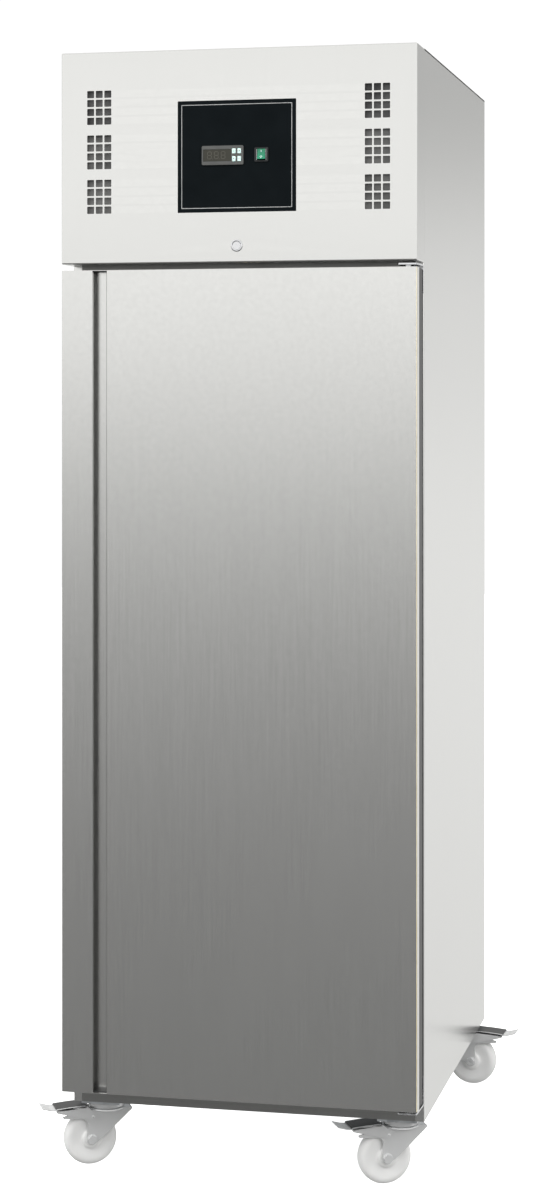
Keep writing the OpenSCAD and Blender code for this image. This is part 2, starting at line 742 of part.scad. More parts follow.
// Refrigerant lines: discharge, liquid line with the filter drier, and the two lines down to the evaporator
line_r = 4;
liquid_x = -150;
suction_x = -170;
drop_y = evap_coil_y0 + 60;
module pipe_holes(z0, z1) {
  for (x = [liquid_x, suction_x]) translate([x, drop_y, z0]) cylinder(r = line_r + clear, h = z1 - z0);
}
module refrigerant_pipes() {
  top = evap_z + evap_h - 12;
  cz = comp[2] + comp_foot + 70;
  comp_side = comp[0] - comp_r;
  low = cond_z0 + 20;
  cond_side = cond_x + 10 + part_gap;
  color(copper) {
    // discharge line, compressor to condenser
    path_tube([[comp[0] + comp_r + 0.3, comp[1], cz + 20], [comp[0] + comp_r + 40, comp[1], cz + 20],
      [comp[0] + comp_r + 40, cond_y0 + 16, cz + 20], [comp[0] + comp_r + 40, cond_y0 + 16, cond_z0 + cond_h - 20],
      [cond_side + 1, cond_y0 + 16, cond_z0 + cond_h - 20]], line_r);
    // liquid line with the drier
    path_tube([[-cond_side - 1, cond_y1 - 16, low], [-cond_side - 30, cond_y1 - 16, low],
      [-cond_side - 30, drop_y - 120, low], [liquid_x, drop_y - 20, low + 10], [liquid_x, drop_y, low + 10],
      [liquid_x, drop_y, top + 0.2]], line_r);
    rod_y(-cond_side - 30, cond_y1 + 30, cond_y1 + 110, low, 11);
    // suction line, evaporator to compressor
    path_tube([[suction_x, drop_y, top + 0.2], [suction_x, drop_y, cz - 20], [suction_x + 60, comp[1] + 20, cz - 20],
      [comp_side - 0.8, comp[1], cz - 20]], line_r);
  }
}

module electrical_box() {
  x0 = tray_x - 90;
  color([0.8, 0.8, 0.8]) difference() {
    slab([x0 - 20, tray_y1 - 120, floor_z + part_gap], [x0 + 80, tray_y1 - 10, floor_z + 110]);
    slab([x0 - 21, tray_y1 - 121, floor_z + 84], [x0 - 18, tray_y1 - 9, floor_z + 86]);
    rod_y(x0 + 40, tray_y1 - 18, tray_y1, floor_z + 30, 8);
  }
}

// ---------------------------------------------------------------- door
// Section of the folded skin in plan: strip, undercut recess, main face and side returns
grip_edge_r = 3;
module skin_section() {
  t = sheet;
  edge_r = grip_edge_r;
  difference() {
    square([cab_w, skin_return]);
    translate([t, t]) square([cab_w - 2 * t, skin_return]);
    translate([grip_strip - t, -1]) square([grip_w + 2 * t, 3 * t]);
  }
  // fold behind the strip and the undercut
  translate([grip_strip - t, 0]) square([t, 7]);
  translate([grip_strip - undercut, 6]) square([undercut, t]);
  translate([grip_strip - undercut, 6]) square([t, grip_d - 6 + t]);
  translate([grip_strip - undercut, grip_d]) square([undercut + grip_w + t, t]);
  // main panel edge, rolled
  translate([grip_strip + grip_w, edge_r]) square([t, grip_d - edge_r + t]);
  translate([grip_strip + grip_w + edge_r, edge_r]) intersection() {
    difference() {
      circle(r = edge_r);
      circle(r = edge_r - t);
    }
    translate([-edge_r, -edge_r]) square(edge_r);
  }
  translate([grip_strip + grip_w + edge_r, 0]) square([4 * t, t]);
}

// Pocket in plan that the recess takes out of the foam and the end plates
module grip_pocket(extra) {
  translate([grip_strip - undercut - extra, 6 - extra])
    square([undercut + grip_w + sheet + 2 * extra, grip_d - 6 + sheet + 2 * extra]);
  translate([grip_strip - sheet - extra, -1]) square([grip_w + 2 * sheet + 2 * extra, 10]);
  translate([grip_strip + grip_w, -1]) square([grip_edge_r + extra, 1 + grip_edge_r + extra]);
}

module lock_pocket() {
  slab([-lock_cam_w, face_y + lock_cam_y - 3, door_z1 - 14], [lock_reach - 6, face_y + lock_cam_y + 5, door_z1 + eps]);
}

module door_skin() {
  color(steel) {
    difference() {
      translate([-xr, face_y, door_z0]) linear_extrude(door_z1 - door_z0) union() {
        skin_section();
        translate([grip_strip + grip_w + 6, 0]) square([cab_w - grip_strip - grip_w - 6, sheet]);
      }
      // edge of the main face ends at the rolled corner
      translate([-xr + grip_strip + grip_w - 2, face_y - 1, door_z0 - 1]) cube([2, 2, door_z1 - door_z0 + 2]);
    }
    difference() {
      for (z = [door_z0, door_z1 - sheet])
        slab([-xr, face_y + sheet / 2, z], [xr, face_y + grip_d + sheet, z + sheet]);
      lock_pocket();
      slab([-xr - 1, face_y + skin_return, door_z0 - 1], [grip_x0 - undercut, face_y + grip_d + 2, door_z1 + 1]);
      slab([grip_x1 + sheet, face_y + skin_return, door_z0 - 1], [xr + 1, face_y + grip_d + 2, door_z1 + 1]);
    }
  }
}

module bush_seats(extra) {
  depth = 20 + extra;
  for (top = [0, 1]) {
    translate([hinge_x, hinge_y, top ? door_z1 - depth : door_z0 - eps]) cylinder(r = bush_flange_r + extra, h = depth + eps);
  }
}

// Thin partings that leave the foam and its edge frame as plain blocks around the handle recess and lock pocket
part_w = 0.15;
module behind_recess(x) {
  y0 = face_y + grip_d + sheet + 0.05;
  slab([-x, y0, door_z0 - 1], [x, y0 + part_w, door_z1 + 1]);
}
module foam_partings() {
  y1 = face_y + grip_d + sheet + 0.1;
  right = grip_x1 + sheet + 0.05;
  behind_recess(xr + 1);
  slab([grip_x0 - undercut - 0.05 - part_w, face_y - 1, door_z0 - 1], [grip_x0 - undercut - 0.05, y1, door_z1 + 1]);
  slab([right, face_y - 1, door_z0 - 1], [right + part_w, y1, door_z1 + 1]);
  slab([right + 0.05, face_y - 1, door_z1 - 14.15], [xr + 1, y1, door_z1 - 13.95]);
  for (x = [-lock_cam_w - 0.1, lock_reach - 6.05])
    slab([x, face_y - 1, door_z1 - 14], [x + part_w, y1, door_z1 + 1]);
}

module door_foam() {
  in = sheet + part_gap;
  rim = edge_in + edge_t + part_gap;
  dike_x = room_x - dike_in - liner_t - part_gap;
  color(foam_yellow) difference() {
    union() {
      slab([-xr + in, face_y + in, door_z0 + in], [xr - in, face_y + skin_return - part_gap, door_z1 - in]);
      slab([-xr + rim, face_y + skin_return - 1, door_z0 + rim],
        [xr - rim, face_y + door_t - liner_t - part_gap, door_z1 - rim]);
      slab([-dike_x, face_y + door_t - liner_t - 1, room_z0 + dike_in + liner_t + part_gap],
        [dike_x, face_y + door_t + dike_h - liner_t - part_gap, room_z1 - dike_in - liner_t - part_gap]);
    }
    translate([-xr, face_y, door_z0 - 1]) linear_extrude(door_z1 - door_z0 + 2) grip_pocket(part_gap);
    lock_pocket();
    foam_partings();
    bush_seats(part_gap);
  }
}

module door_liner() {
  rim = edge_in + edge_t + part_gap;
  y0 = face_y + door_t - liner_t;
  color([0.90, 0.90, 0.90]) difference() {
    union() {
      slab([-xr + rim, y0, door_z0 + rim], [xr - rim, y0 + liner_t, door_z1 - rim]);
      slab([-room_x + dike_in, y0, room_z0 + dike_in], [room_x - dike_in, y0 + liner_t + dike_h, room_z1 - dike_in]);
    }
    slab([-room_x + dike_in + liner_t, y0 - eps, room_z0 + dike_in + liner_t],
      [room_x - dike_in - liner_t, y0 + dike_h, room_z1 - dike_in - liner_t]);
  }
}

module ring_frame(x0, z0, z1, width, y0, y1) {
  difference() {
    slab([-x0 - width, y0, z0 - width], [x0 + width, y1, z1 + width]);
    slab([-x0, y0 - 1, z0], [x0, y1 + 1, z1]);
  }
}

module door_gasket() {
  y0 = face_y + door_t + part_gap;
  y1 = body_y - clear;
  color([0.30, 0.30, 0.31]) {
    ring_frame(gasket_x, room_z0 - gasket_lap, room_z1 + gasket_lap, gasket_w, y1 - 5, y1);
    ring_frame(gasket_x + 3, room_z0 - gasket_lap - 3, room_z1 + gasket_lap + 3, gasket_w - 6, y0, y1 - 4);
  }
}

module door_edge_frame() {
  z_in = edge_in + edge_t;
  color(black) difference() {
    ring_frame(xr - z_in, door_z0 + z_in, door_z1 - z_in, edge_t, face_y + skin_return + part_gap, face_y + door_t);
    translate([-xr, face_y, door_z0 - 1]) linear_extrude(door_z1 - door_z0 + 2) grip_pocket(part_gap);
    behind_recess(xr - z_in);
    for (x = [-xr + z_in - 0.1, xr - z_in - 0.05])
      slab([x, face_y, door_z0 - 1], [x + part_w, face_y + door_t + 1, door_z1 + 1]);
    bush_seats(part_gap);
  }
}

// Nylon bushes that turn on the hinge pins, one in each end of the door
module hinge_bushes() {
  color(nylon) difference() {
    bush_seats(0);
    for (top = [0, 1]) translate([hinge_x, hinge_y, top ? door_z1 - 18 : door_z0 - 1])
      cylinder(r = hinge_pin_r + run_clear, h = 19);
  }
}

bracket_w = 36;
bracket_lip = 44;
// Top bracket above the door, mirrored below it; the lip is screwed to the body front behind the door
module bracket_screw_places() {
  for (z = [door_z1 - 12, door_z1 - 32, door_z0 + 12, door_z0 + 32])
    translate([xr - 10, body_y - 2, z]) rotate([-90, 0, 0]) children();
}
module bracket_screws(r) {
  bracket_screw_places() cylinder(r = r, h = 20);
}
module hinge_bracket() {
  lip_t = 2;
  difference() {
    union() {
      hull() {
        slab([xr - bracket_w - 3, body_y - lip_t, bracket_gap], [xr - 1, body_y - part_gap, bracket_gap + bracket_t]);
        translate([xr - 9, face_y + 14, bracket_gap]) cylinder(r = 6, h = bracket_t, $fn = 32);
        translate([xr - bracket_w + 3, face_y + 14, bracket_gap]) cylinder(r = 6, h = bracket_t, $fn = 32);
      }
      slab([xr - 19, body_y - lip_t, -bracket_lip], [xr - 1, body_y - part_gap, bracket_gap + bracket_t]);
    }
  }
  translate([hinge_x, hinge_y, -15]) cylinder(r = hinge_pin_r, h = 15 + bracket_gap + 1);
}
module hinge_brackets() {
  color(zinc) difference() {
    union() {
      translate([0, 0, door_z1]) hinge_bracket();
      translate([0, 0, door_z0]) mirror([0, 0, 1]) hinge_bracket();
    }
    bracket_screws(screw_hole_r);
  }
}

// ---------------------------------------------------------------- castors
// Castor frame: swivel axis at the origin, the wheel trails along +X, floor at Z = 0.
axle_z = wheel_d / 2;
leg_t = 3;
leg_in = wheel_w / 2 + 2.5;
crown_z = wheel_d + 3;
crown_t = 3.5;
crown_r = 34;
head_plate_t = 4;
rivet_x = trail - 2;
rivet_z = crown_z - 9;

module at_castor(i) {
  translate([castor_x(i), castor_y(i), 0]) rotate([0, 0, castor_turn[i]]) children();
}

module castor_head() {
  race_z = crown_z + crown_t + clear;
  translate([0, 0, race_z]) difference() {
    cylinder(r = 31, h = castor_z - part_gap - race_z);
    translate([0, 0, -1]) cylinder(r = 26, h = castor_z - head_plate_t - race_z + 1);
  }
  translate([0, 0, castor_z - head_plate_t - part_gap]) cylinder(r = crown_r, h = head_plate_t);
  translate([0, 0, crown_z - 6]) cylinder(r = stud_r, h = stud_top - crown_z + 6);
  translate([0, 0, crown_z - 6 - clear]) cylinder(r = 10, h = 6);
}

module castor_heads() {
  color(zinc) for (i = [0 : 3]) at_castor(i) castor_head();
}

// Outline of a fork leg: prow, crown, horn under the pedal, arch over the wheel, lug round the axle
function leg_outline() = [
  [trail + 9, axle_z], [trail + 8, crown_z - 21], [trail + 14, crown_z - 14], [trail + 53, crown_z - 11],
  [trail + 55, crown_z - 7], [trail - 7, crown_z + crown_t], [-crown_r - 8, crown_z + crown_t],
  [-crown_r - 10, crown_z], [trail - 16, axle_z + 4], [trail - 10, axle_z]];

function prow_end(gap) = [trail, axle_z] + (wheel_d / 2 + gap) * [cos(143), sin(143)];

module castor_fork(i) {
  color(zinc) at_castor(i) {
    difference() {
      union() {
        for (s = [0, 1]) mirror([0, s, 0])
          translate([0, leg_in + leg_t, 0]) rotate([90, 0, 0]) linear_extrude(leg_t) {
            polygon(leg_outline());
            translate([trail, axle_z]) circle(r = 10);
          }
        translate([0, 0, crown_z]) cylinder(r = crown_r, h = crown_t);
        slab([-crown_r - 8, -leg_in, crown_z], [trail - 6, leg_in, crown_z + crown_t]);
        // sloping front wall between the legs, down to just clear of the tread
        translate([0, leg_in + 1, 0]) rotate([90, 0, 0]) linear_extrude(2 * leg_in + 2)
          polygon([[-crown_r - 7, crown_z + 1], [-crown_r - 3, crown_z + 1], prow_end(2), prow_end(5.5)]);
      }
      translate([0, 0, crown_z - 1]) cylinder(r = stud_r + run_clear, h = crown_t + 2);
      translate([trail, -leg_in - leg_t - 1, axle_z]) rotate([-90, 0, 0])
        cylinder(r = axle_r + part_gap, h = 2 * (leg_in + leg_t) + 2);
      for (s = [-1, 1]) translate([rivet_x, s * (leg_in + leg_t / 2), rivet_z]) rotate([90, 0, 0])
        cylinder(r = 3 + run_clear, h = leg_t + 2, center = true);
    }
    axle_bolt();
  }
}

module axle_bolt() {
  reach = leg_in + leg_t + part_gap;
  translate([trail, 0, axle_z]) rotate([90, 0, 0]) {
    cylinder(r = axle_r, h = 2 * reach + 2, center = true);
    for (s = [-1, 1]) translate([0, 0, s * (reach + 3)]) rotate([0, 0, 15]) cylinder(r = 9.5, h = 6, center = true, $fn = 6);
  }
}

module castor_wheel(i) {
  hub_half = leg_in - clear;
  r = wheel_d / 2;
  w = wheel_w / 2;
  shoulder = 7;
  color(nylon) at_castor(i) translate([trail, 0, axle_z]) rotate([90, 0, 0]) rotate_extrude() {
    difference() {
      union() {
        translate([0, -w]) square([r - shoulder, 2 * w]);
        translate([0, -w + shoulder]) square([r, 2 * (w - shoulder)]);
        for (s = [-1, 1]) translate([r - shoulder, s * (w - shoulder)]) circle(r = shoulder);
        translate([0, -hub_half]) square([17, 2 * hub_half]);
      }
      translate([-1, -hub_half - 1]) square([1 + axle_r + run_clear, 2 * hub_half + 2]);
      for (s = [-1, 1]) translate([17 + (r - shoulder - 17) / 2, s * w]) square([r - shoulder - 23, 6], center = true);
    }
  }
}

// Brake pedal: pad over the horn, two arms down to the rivets, metal lip at the tip
pedal_half = leg_in + leg_t + clear;
module brake_pedal(i) {
  arm_t = 2.5;
  pad_z = rivet_z + 15;
  color(black) at_castor(i) {
    for (s = [0, 1]) mirror([0, s, 0]) {
      translate([0, pedal_half + arm_t, 0]) rotate([90, 0, 0]) linear_extrude(arm_t)
        polygon([[rivet_x - 6, rivet_z - 5], [rivet_x + 5, rivet_z - 6], [trail + 66, rivet_z + 10],
          [trail + 68, pad_z + 3], [trail + 12, pad_z + 6], [rivet_x - 4, rivet_z + 6]]);
      translate([rivet_x, leg_in + leg_t / 2 + 0.2, rivet_z]) rotate([-90, 0, 0]) cylinder(r = 3, h = leg_t / 2 + arm_t);
    }
    translate([0, pedal_half + arm_t, 0]) rotate([90, 0, 0]) linear_extrude(2 * (pedal_half + arm_t))
      polygon([[trail + 10, pad_z + 1], [trail + 66, pad_z - 3], [trail + 92, pad_z + 3], [trail + 93, pad_z + 5],
        [trail + 68, pad_z + 2], [trail + 12, pad_z + 6]]);
  }
}

side_panel(-1);  // side_panel_left
side_panel(1);  // side_panel_right
back_panel();
base_pan();
ceiling_deck();
cabinet_foam();
inner_liner();
front_frame();
fascia_panel();
top_cover();
rear_grille();
cable_gland();
cabinet_screws();
control_plate();
controller_case();
controller_display();
controller_button(0);  // controller_button_1
controller_button(1);  // controller_button_2
controller_button(2);  // controller_button_3
controller_button(3);  // controller_button_4
switch_bezel();
switch_rocker();
lock_body();
lock_barrel();
shelf_uprights();
shelf_runners();
wire_shelves();
evaporator_housing();
evaporator_coil();
evaporator_fan_motor();
evaporator_fan_blade();
drain_pipe();
unit_tray();
compressor();
compressor_grommets();
condenser_coil();
condenser_fan_frame();
condenser_fan_blade();
refrigerant_pipes();
electrical_box();
door_skin();
door_foam();
door_liner();
door_gasket();
door_edge_frame();
hinge_bushes();
hinge_brackets();
castor_heads();
castor_fork(0);  // castor_fork_fl
castor_fork(1);  // castor_fork_fr
castor_fork(2);  // castor_fork_rl
castor_fork(3);  // castor_fork_rr
castor_wheel(0);  // castor_wheel_fl
castor_wheel(1);  // castor_wheel_fr
castor_wheel(2);  // castor_wheel_rl
castor_wheel(3);  // castor_wheel_rr
brake_pedal(0);  // brake_pedal_fl
brake_pedal(1);  // brake_pedal_fr
brake_pedal(2);  // brake_pedal_rl
brake_pedal(3);  // brake_pedal_rr
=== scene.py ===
"""Looks of the reach-in refrigerator: sheet metal, control panel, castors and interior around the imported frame.

Sizes are millimetres until a piece is finished; X right, Y back, Z up, origin at floor level.
"""
import json
import math

import bmesh
import bpy
from mathutils import Matrix, Vector
from mathutils.geometry import tessellate_polygon


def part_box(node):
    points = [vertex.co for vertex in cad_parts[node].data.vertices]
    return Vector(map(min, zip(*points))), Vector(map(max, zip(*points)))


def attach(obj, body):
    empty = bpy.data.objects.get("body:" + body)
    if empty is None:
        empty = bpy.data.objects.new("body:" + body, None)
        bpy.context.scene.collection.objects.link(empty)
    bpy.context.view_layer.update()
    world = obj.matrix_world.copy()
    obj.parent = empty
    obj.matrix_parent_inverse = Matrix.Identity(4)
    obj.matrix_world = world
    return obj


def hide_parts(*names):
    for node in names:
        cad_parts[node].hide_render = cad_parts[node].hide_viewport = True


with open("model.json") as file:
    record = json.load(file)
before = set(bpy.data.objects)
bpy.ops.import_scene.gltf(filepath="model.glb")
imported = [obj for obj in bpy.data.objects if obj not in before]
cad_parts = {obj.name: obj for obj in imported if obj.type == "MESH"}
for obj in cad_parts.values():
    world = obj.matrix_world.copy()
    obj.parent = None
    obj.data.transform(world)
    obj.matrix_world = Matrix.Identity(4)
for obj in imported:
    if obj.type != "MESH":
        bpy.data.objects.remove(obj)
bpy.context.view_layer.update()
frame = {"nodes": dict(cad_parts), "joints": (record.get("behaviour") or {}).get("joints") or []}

MM = 0.001
SHEET = 1.0
CASTORS = ("fl", "fr", "rl", "rr")
JOINTS = {joint["name"]: joint for joint in frame["joints"]}


def box_mm(node):
    low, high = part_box(node)
    return low / MM, high / MM


def joint_mm(name):
    return Vector(JOINTS[name]["pos_m"]) / MM


# ------------------------------------------------------------------ mesh helpers
class Shape:
    """Points and faces in millimetres, gathered before they become one mesh."""

    def __init__(self):
        self.points = []
        self.faces = []

    def add(self, points, faces, place=None):
        start = len(self.points)
        for point in points:
            point = Vector(point)
            self.points.append(place @ point if place else point)
        self.faces.extend([tuple(start + index for index in face) for face in faces])


def place_axes(origin, a, b, c):
    """Matrix that carries local a, b, c onto the given directions at the origin."""
    matrix = Matrix.Identity(4)
    for column, axis in enumerate((a, b, c)):
        for row in range(3):
            matrix[row][column] = axis[row]
    for row in range(3):
        matrix[row][3] = origin[row]
    return matrix


def facing_front(y):
    """Local a to the right, b up and c to the back, from the plane at y."""
    return place_axes((0, y, 0), (1, 0, 0), (0, 0, 1), (0, 1, 0))


def upright(x, y, z):
    """Local a to the right, b to the back and c up, from a point."""
    return place_axes((x, y, z), (1, 0, 0), (0, 1, 0), (0, 0, 1))


def shifted(place, a, b, c):
    return place @ Matrix.Translation((a, b, c))


def rounded_rect(a0, a1, b0, b1, radius, steps=4):
    """Corner-rounded rectangle, anticlockwise, with the same count of points for any radius."""
    radius = max(min(radius, (a1 - a0) / 2, (b1 - b0) / 2), 0.001)
    points = []
    for ca, cb, start in ((a1 - radius, b1 - radius, 0), (a0 + radius, b1 - radius, 90),
                          (a0 + radius, b0 + radius, 180), (a1 - radius, b0 + radius, 270)):
        for step in range(steps + 1):
            turn = math.radians(start + 90 * step / steps)
            points.append((ca + radius * math.cos(turn), cb + radius * math.sin(turn)))
    return points


def circle_points(a, b, radius, count=32, start=0.0):
    return [(a + radius * math.cos(start + 2 * math.pi * k / count),
             b + radius * math.sin(start + 2 * math.pi * k / count)) for k in range(count)]


def round_hole(a, b, radius, count):
    return circle_points(a, b, radius, count)[::-1]


def rect_hole(a0, a1, b0, b1, radius, steps=4):
    return rounded_rect(a0, a1, b0, b1, radius, steps)[::-1]


def plate(shape, outline, holes, thickness, place=None, start=0.0):
    """Flat plate with holes, from c = start to start + thickness."""
    loops = [list(outline)] + [list(hole) for hole in holes]
    flat = [point for loop in loops for point in loop]
    count = len(flat)
    triangles = tessellate_polygon([[Vector((a, b, 0)) for a, b in loop] for loop in loops])
    points = [(a, b, start) for a, b in flat] + [(a, b, start + thickness) for a, b in flat]
    faces = [tuple(tri) for tri in triangles] + [tuple(count + k for k in reversed(tri)) for tri in triangles]
    base = 0
    for loop in loops:
        size = len(loop)
        for k in range(size):
            n = (k + 1) % size
            faces.append((base + k, base + n, count + base + n, count + base + k))
        base += size
    shape.add(points, faces, place)


def loft(shape, loops, place=None, caps=True):
    """Skin between loops of 3-D points with the same count."""
    size = len(loops[0])
    points = [point for loop in loops for point in loop]
    faces = []
    for level in range(len(loops) - 1):
        low, high = level * size, (level + 1) * size
        for k in range(size):
            n = (k + 1) % size
            faces.append((low + k, low + n, high + n, high + k))
    if caps:
        faces.append(tuple(range(size)))
        faces.append(tuple(len(points) - size + k for k in reversed(range(size))))
    shape.add(points, faces, place)


def ring_loft(shape, loops, place=None):
    """Loops joined in a closed cycle, last to first: a tube section carried round a frame."""
    loft(shape, list(loops) + [loops[0]], place, caps=False)


def turned(shape, profile, place=None, count=48):
    """Profile of (radius, height) points turned about local c; open ends are closed on the axis."""
    loops = []
    for radius, height in profile:
        radius = max(radius, 0.001)
        loops.append([(radius * math.cos(2 * math.pi * k / count), radius * math.sin(2 * math.pi * k / count), height)
                      for k in range(count)])
    loft(shape, loops, place)


def block(shape, low, high, radius, place=None, steps=3):
    """Box with every edge rounded."""
    levels = []
    for step in range(steps + 1):
        turn = math.radians(90 * step / steps)
        levels.append((radius * (1 - math.sin(turn)), low[2] + radius * (1 - math.cos(turn))))
    for step in range(steps + 1):
        turn = math.radians(90 * step / steps)
        levels.append((radius * (1 - math.cos(turn)), high[2] - radius * (1 - math.sin(turn))))
    rings = []
    for inset, height in levels:
        rect = rounded_rect(low[0] + inset, high[0] - inset, low[1] + inset, high[1] - inset, radius - inset, steps)
        rings.append([(a, b, height) for a, b in rect])
    loft(shape, rings, place)


def bend_points(path, radii, steps=6):
    """Path with an arc at each inner corner; works in two or three dimensions."""
    path = [Vector(point).to_3d() for point in path]
    out = [path[0]]
    for k in range(1, len(path) - 1):
        before, here, after = path[k - 1], path[k], path[k + 1]
        u, v = (before - here).normalized(), (after - here).normalized()
        angle = u.angle(v)
        radius = radii[k - 1] if isinstance(radii, (list, tuple)) else radii
        reach = min(radius / math.tan(angle / 2), (before - here).length * 0.49, (after - here).length * 0.49)
        bent = reach * math.tan(angle / 2)
        centre = here + (u + v).normalized() * (bent / math.sin(angle / 2))
        first, last = here + u * reach - centre, here + v * reach - centre
        sweep = first.angle(last)
        for step in range(steps + 1):
            share = step / steps
            blend = first * math.sin((1 - share) * sweep) + last * math.sin(share * sweep)
            out.append(centre + blend / math.sin(sweep))
    out.append(path[-1])
    return out


def flat_bends(path, radii, steps=6):
    """Bent path as plain pairs, for an outline."""
    return [(point.x, point.y) for point in bend_points(path, radii, steps)]


def folded(shape, path, radii, thickness, length, place=None, steps=6):
    """Sheet folded along a path in a and b, with rounded bends, and extruded along c."""
    line = bend_points(path, radii, steps)
    sides = ([], [])
    for k, point in enumerate(line):
        ahead = line[min(k + 1, len(line) - 1)] - line[max(k - 1, 0)]
        normal = Vector((-ahead.y, ahead.x, 0)).normalized() * thickness / 2
        sides[0].append(point + normal)
        sides[1].append(point - normal)
    outline = sides[0] + sides[1][::-1]
    size, half = len(outline), len(line)
    points = [(p.x, p.y, 0) for p in outline] + [(p.x, p.y, length) for p in outline]
    faces = [(k, (k + 1) % size, size + (k + 1) % size, size + k) for k in range(size)]
    for k in range(half - 1):
        quad = (k, k + 1, size - 2 - k, size - 1 - k)
        faces += [quad, tuple(size + index for index in reversed(quad))]
    shape.add(points, faces, place)


def tube(shape, path, radius, count=12, place=None, closed=False):
    """Round bar or pipe along 3-D points."""
    path = [Vector(point) for point in path]
    size = len(path)
    rings, side = [], None
    for k, point in enumerate(path):
        if closed:
            ahead = path[(k + 1) % size] - path[k - 1]
        else:
            ahead = path[min(k + 1, size - 1)] - path[max(k - 1, 0)]
        ahead.normalize()
        if side is None:
            side = ahead.orthogonal().normalized()
        side = (side - ahead * side.dot(ahead)).normalized()
        up = ahead.cross(side)
        rings.append([point + side * radius * math.cos(2 * math.pi * j / count)
                      + up * radius * math.sin(2 * math.pi * j / count) for j in range(count)])
    if closed:
        ring_loft(shape, rings, place)
    else:
        loft(shape, rings, place)


def pan(shape, a0, a1, b0, b1, depth, thickness, edge, holes=(), place=None, corner=1.0):
    """Folded tray: a face at c = 0 with holes, rounded folds and four returns of the given depth."""
    steps = 5

    def ring(inset, height):
        return [(a, b, height) for a, b in rounded_rect(a0 + inset, a1 - inset, b0 + inset, b1 - inset,
                                                       max(corner, edge) - inset + 0.01)]

    turns = [math.radians(90 * k / steps) for k in range(steps + 1)]
    outer = [ring(edge * (1 - math.sin(turn)), edge * (1 - math.cos(turn))) for turn in turns]
    inner_edge = max(edge - thickness, 0.01)
    inner = [ring(thickness + inner_edge * (1 - math.sin(turn)), thickness + inner_edge * (1 - math.cos(turn)))
             for turn in turns]
    loops = outer + [ring(0, depth), ring(thickness, depth)] + inner[::-1]
    loft(shape, loops, place, caps=False)
    face = [(a, b) for a, b, _ in outer[0]]
    back = [(a, b) for a, b, _ in inner[0]]
    for outline, height in ((face, 0.0), (back, thickness)):
        loops = [outline] + [list(hole) for hole in holes]
        flat = [point for loop in loops for point in loop]
        triangles = tessellate_polygon([[Vector((a, b, 0)) for a, b in loop] for loop in loops])
        shape.add([(a, b, height) for a, b in flat], [tuple(tri) for tri in triangles], place)
    for hole in holes:
        size = len(hole)
        shape.add([(a, b, 0) for a, b in hole] + [(a, b, thickness) for a, b in hole],
                  [(k, (k + 1) % size, size + (k + 1) % size, size + k) for k in range(size)], place)


def make_piece(name, shape, material, body, stands_for=(), bevel=0.0, smooth=40, flat_over=0.0):
    """Turns a shape into an object in metres that rides on its body."""
    mesh = bpy.data.meshes.new(name)
    mesh.from_pydata([point * MM for point in shape.points], [], shape.faces)
    work = bmesh.new()
    work.from_mesh(mesh)
    bmesh.ops.remove_doubles(work, verts=work.verts, dist=2e-6)
    bmesh.ops.dissolve_degenerate(work, edges=work.edges, dist=1e-7)
    bmesh.ops.recalc_face_normals(work, faces=work.faces)
    work.to_mesh(mesh)
    work.free()
    mesh.polygons.foreach_set("use_smooth", [True] * len(mesh.polygons))
    mesh.set_sharp_from_angle(angle=math.radians(smooth))
    if flat_over:
        for face in mesh.polygons:
            if face.area > flat_over * MM * MM:
                face.use_smooth = False
    piece = bpy.data.objects.new(name, mesh)
    bpy.context.scene.collection.objects.link(piece)
    mesh.materials.append(material)
    if bevel:
        edge = piece.modifiers.new("soft_edges", "BEVEL")
        edge.width = bevel * MM
        edge.segments = 2
        edge.limit_method = "ANGLE"
        edge.angle_limit = math.radians(40)
    even = piece.modifiers.new("even_shading", "WEIGHTED_NORMAL")
    even.keep_sharp = True
    even.weight = 100
    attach(piece, body)
    if stands_for:
        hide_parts(*stands_for)
    return piece


# ------------------------------------------------------------------ shader node groups
def new_group(name, inputs, outputs):
    group = bpy.data.node_groups.new(name, "ShaderNodeTree")
    for label, kind, value in inputs:
        socket = group.interface.new_socket(label, in_out="INPUT", socket_type=kind)
        socket.default_value = value
    for label, kind in outputs:
        group.interface.new_socket(label, in_out="OUTPUT", socket_type=kind)
    return group, group.nodes.new("NodeGroupInput"), group.nodes.new("NodeGroupOutput")


def link(tree, source, target):
    tree.links.new(source, target)


def add_node(tree, kind, operation=None, **inputs):
    """New shader node with its operation and unlinked inputs set."""
    node = tree.nodes.new("ShaderNode" + kind)
    if operation:
        node.operation = operation
    for label, value in inputs.items():
        node.inputs[label.replace("_", " ")].default_value = value
    return node


def noise_at(group, vector, **inputs):
    noise = add_node(group, "TexNoise", **inputs)
    link(group, vector, noise.inputs["Vector"])
    return noise


def make_grain_group():
    """Fine drawn grain: streaks that are short across the stretch and long along it."""
    group, given, out = new_group("drawn_grain", [("Stretch", "NodeSocketVector", (900, 900, 8))],
                                  [("Streaks", "NodeSocketFloat"), ("Clouds", "NodeSocketFloat")])
    where = add_node(group, "TexCoord").outputs["Object"]
    scale = add_node(group, "VectorMath", "MULTIPLY")
    link(group, where, scale.inputs[0])
    link(group, given.outputs["Stretch"], scale.inputs[1])
    link(group, noise_at(group, scale.outputs[0], Scale=1.0, Detail=3.0).outputs["Fac"], out.inputs["Streaks"])
    link(group, noise_at(group, where, Scale=2.2, Detail=2.0).outputs["Fac"], out.inputs["Clouds"])
    return group


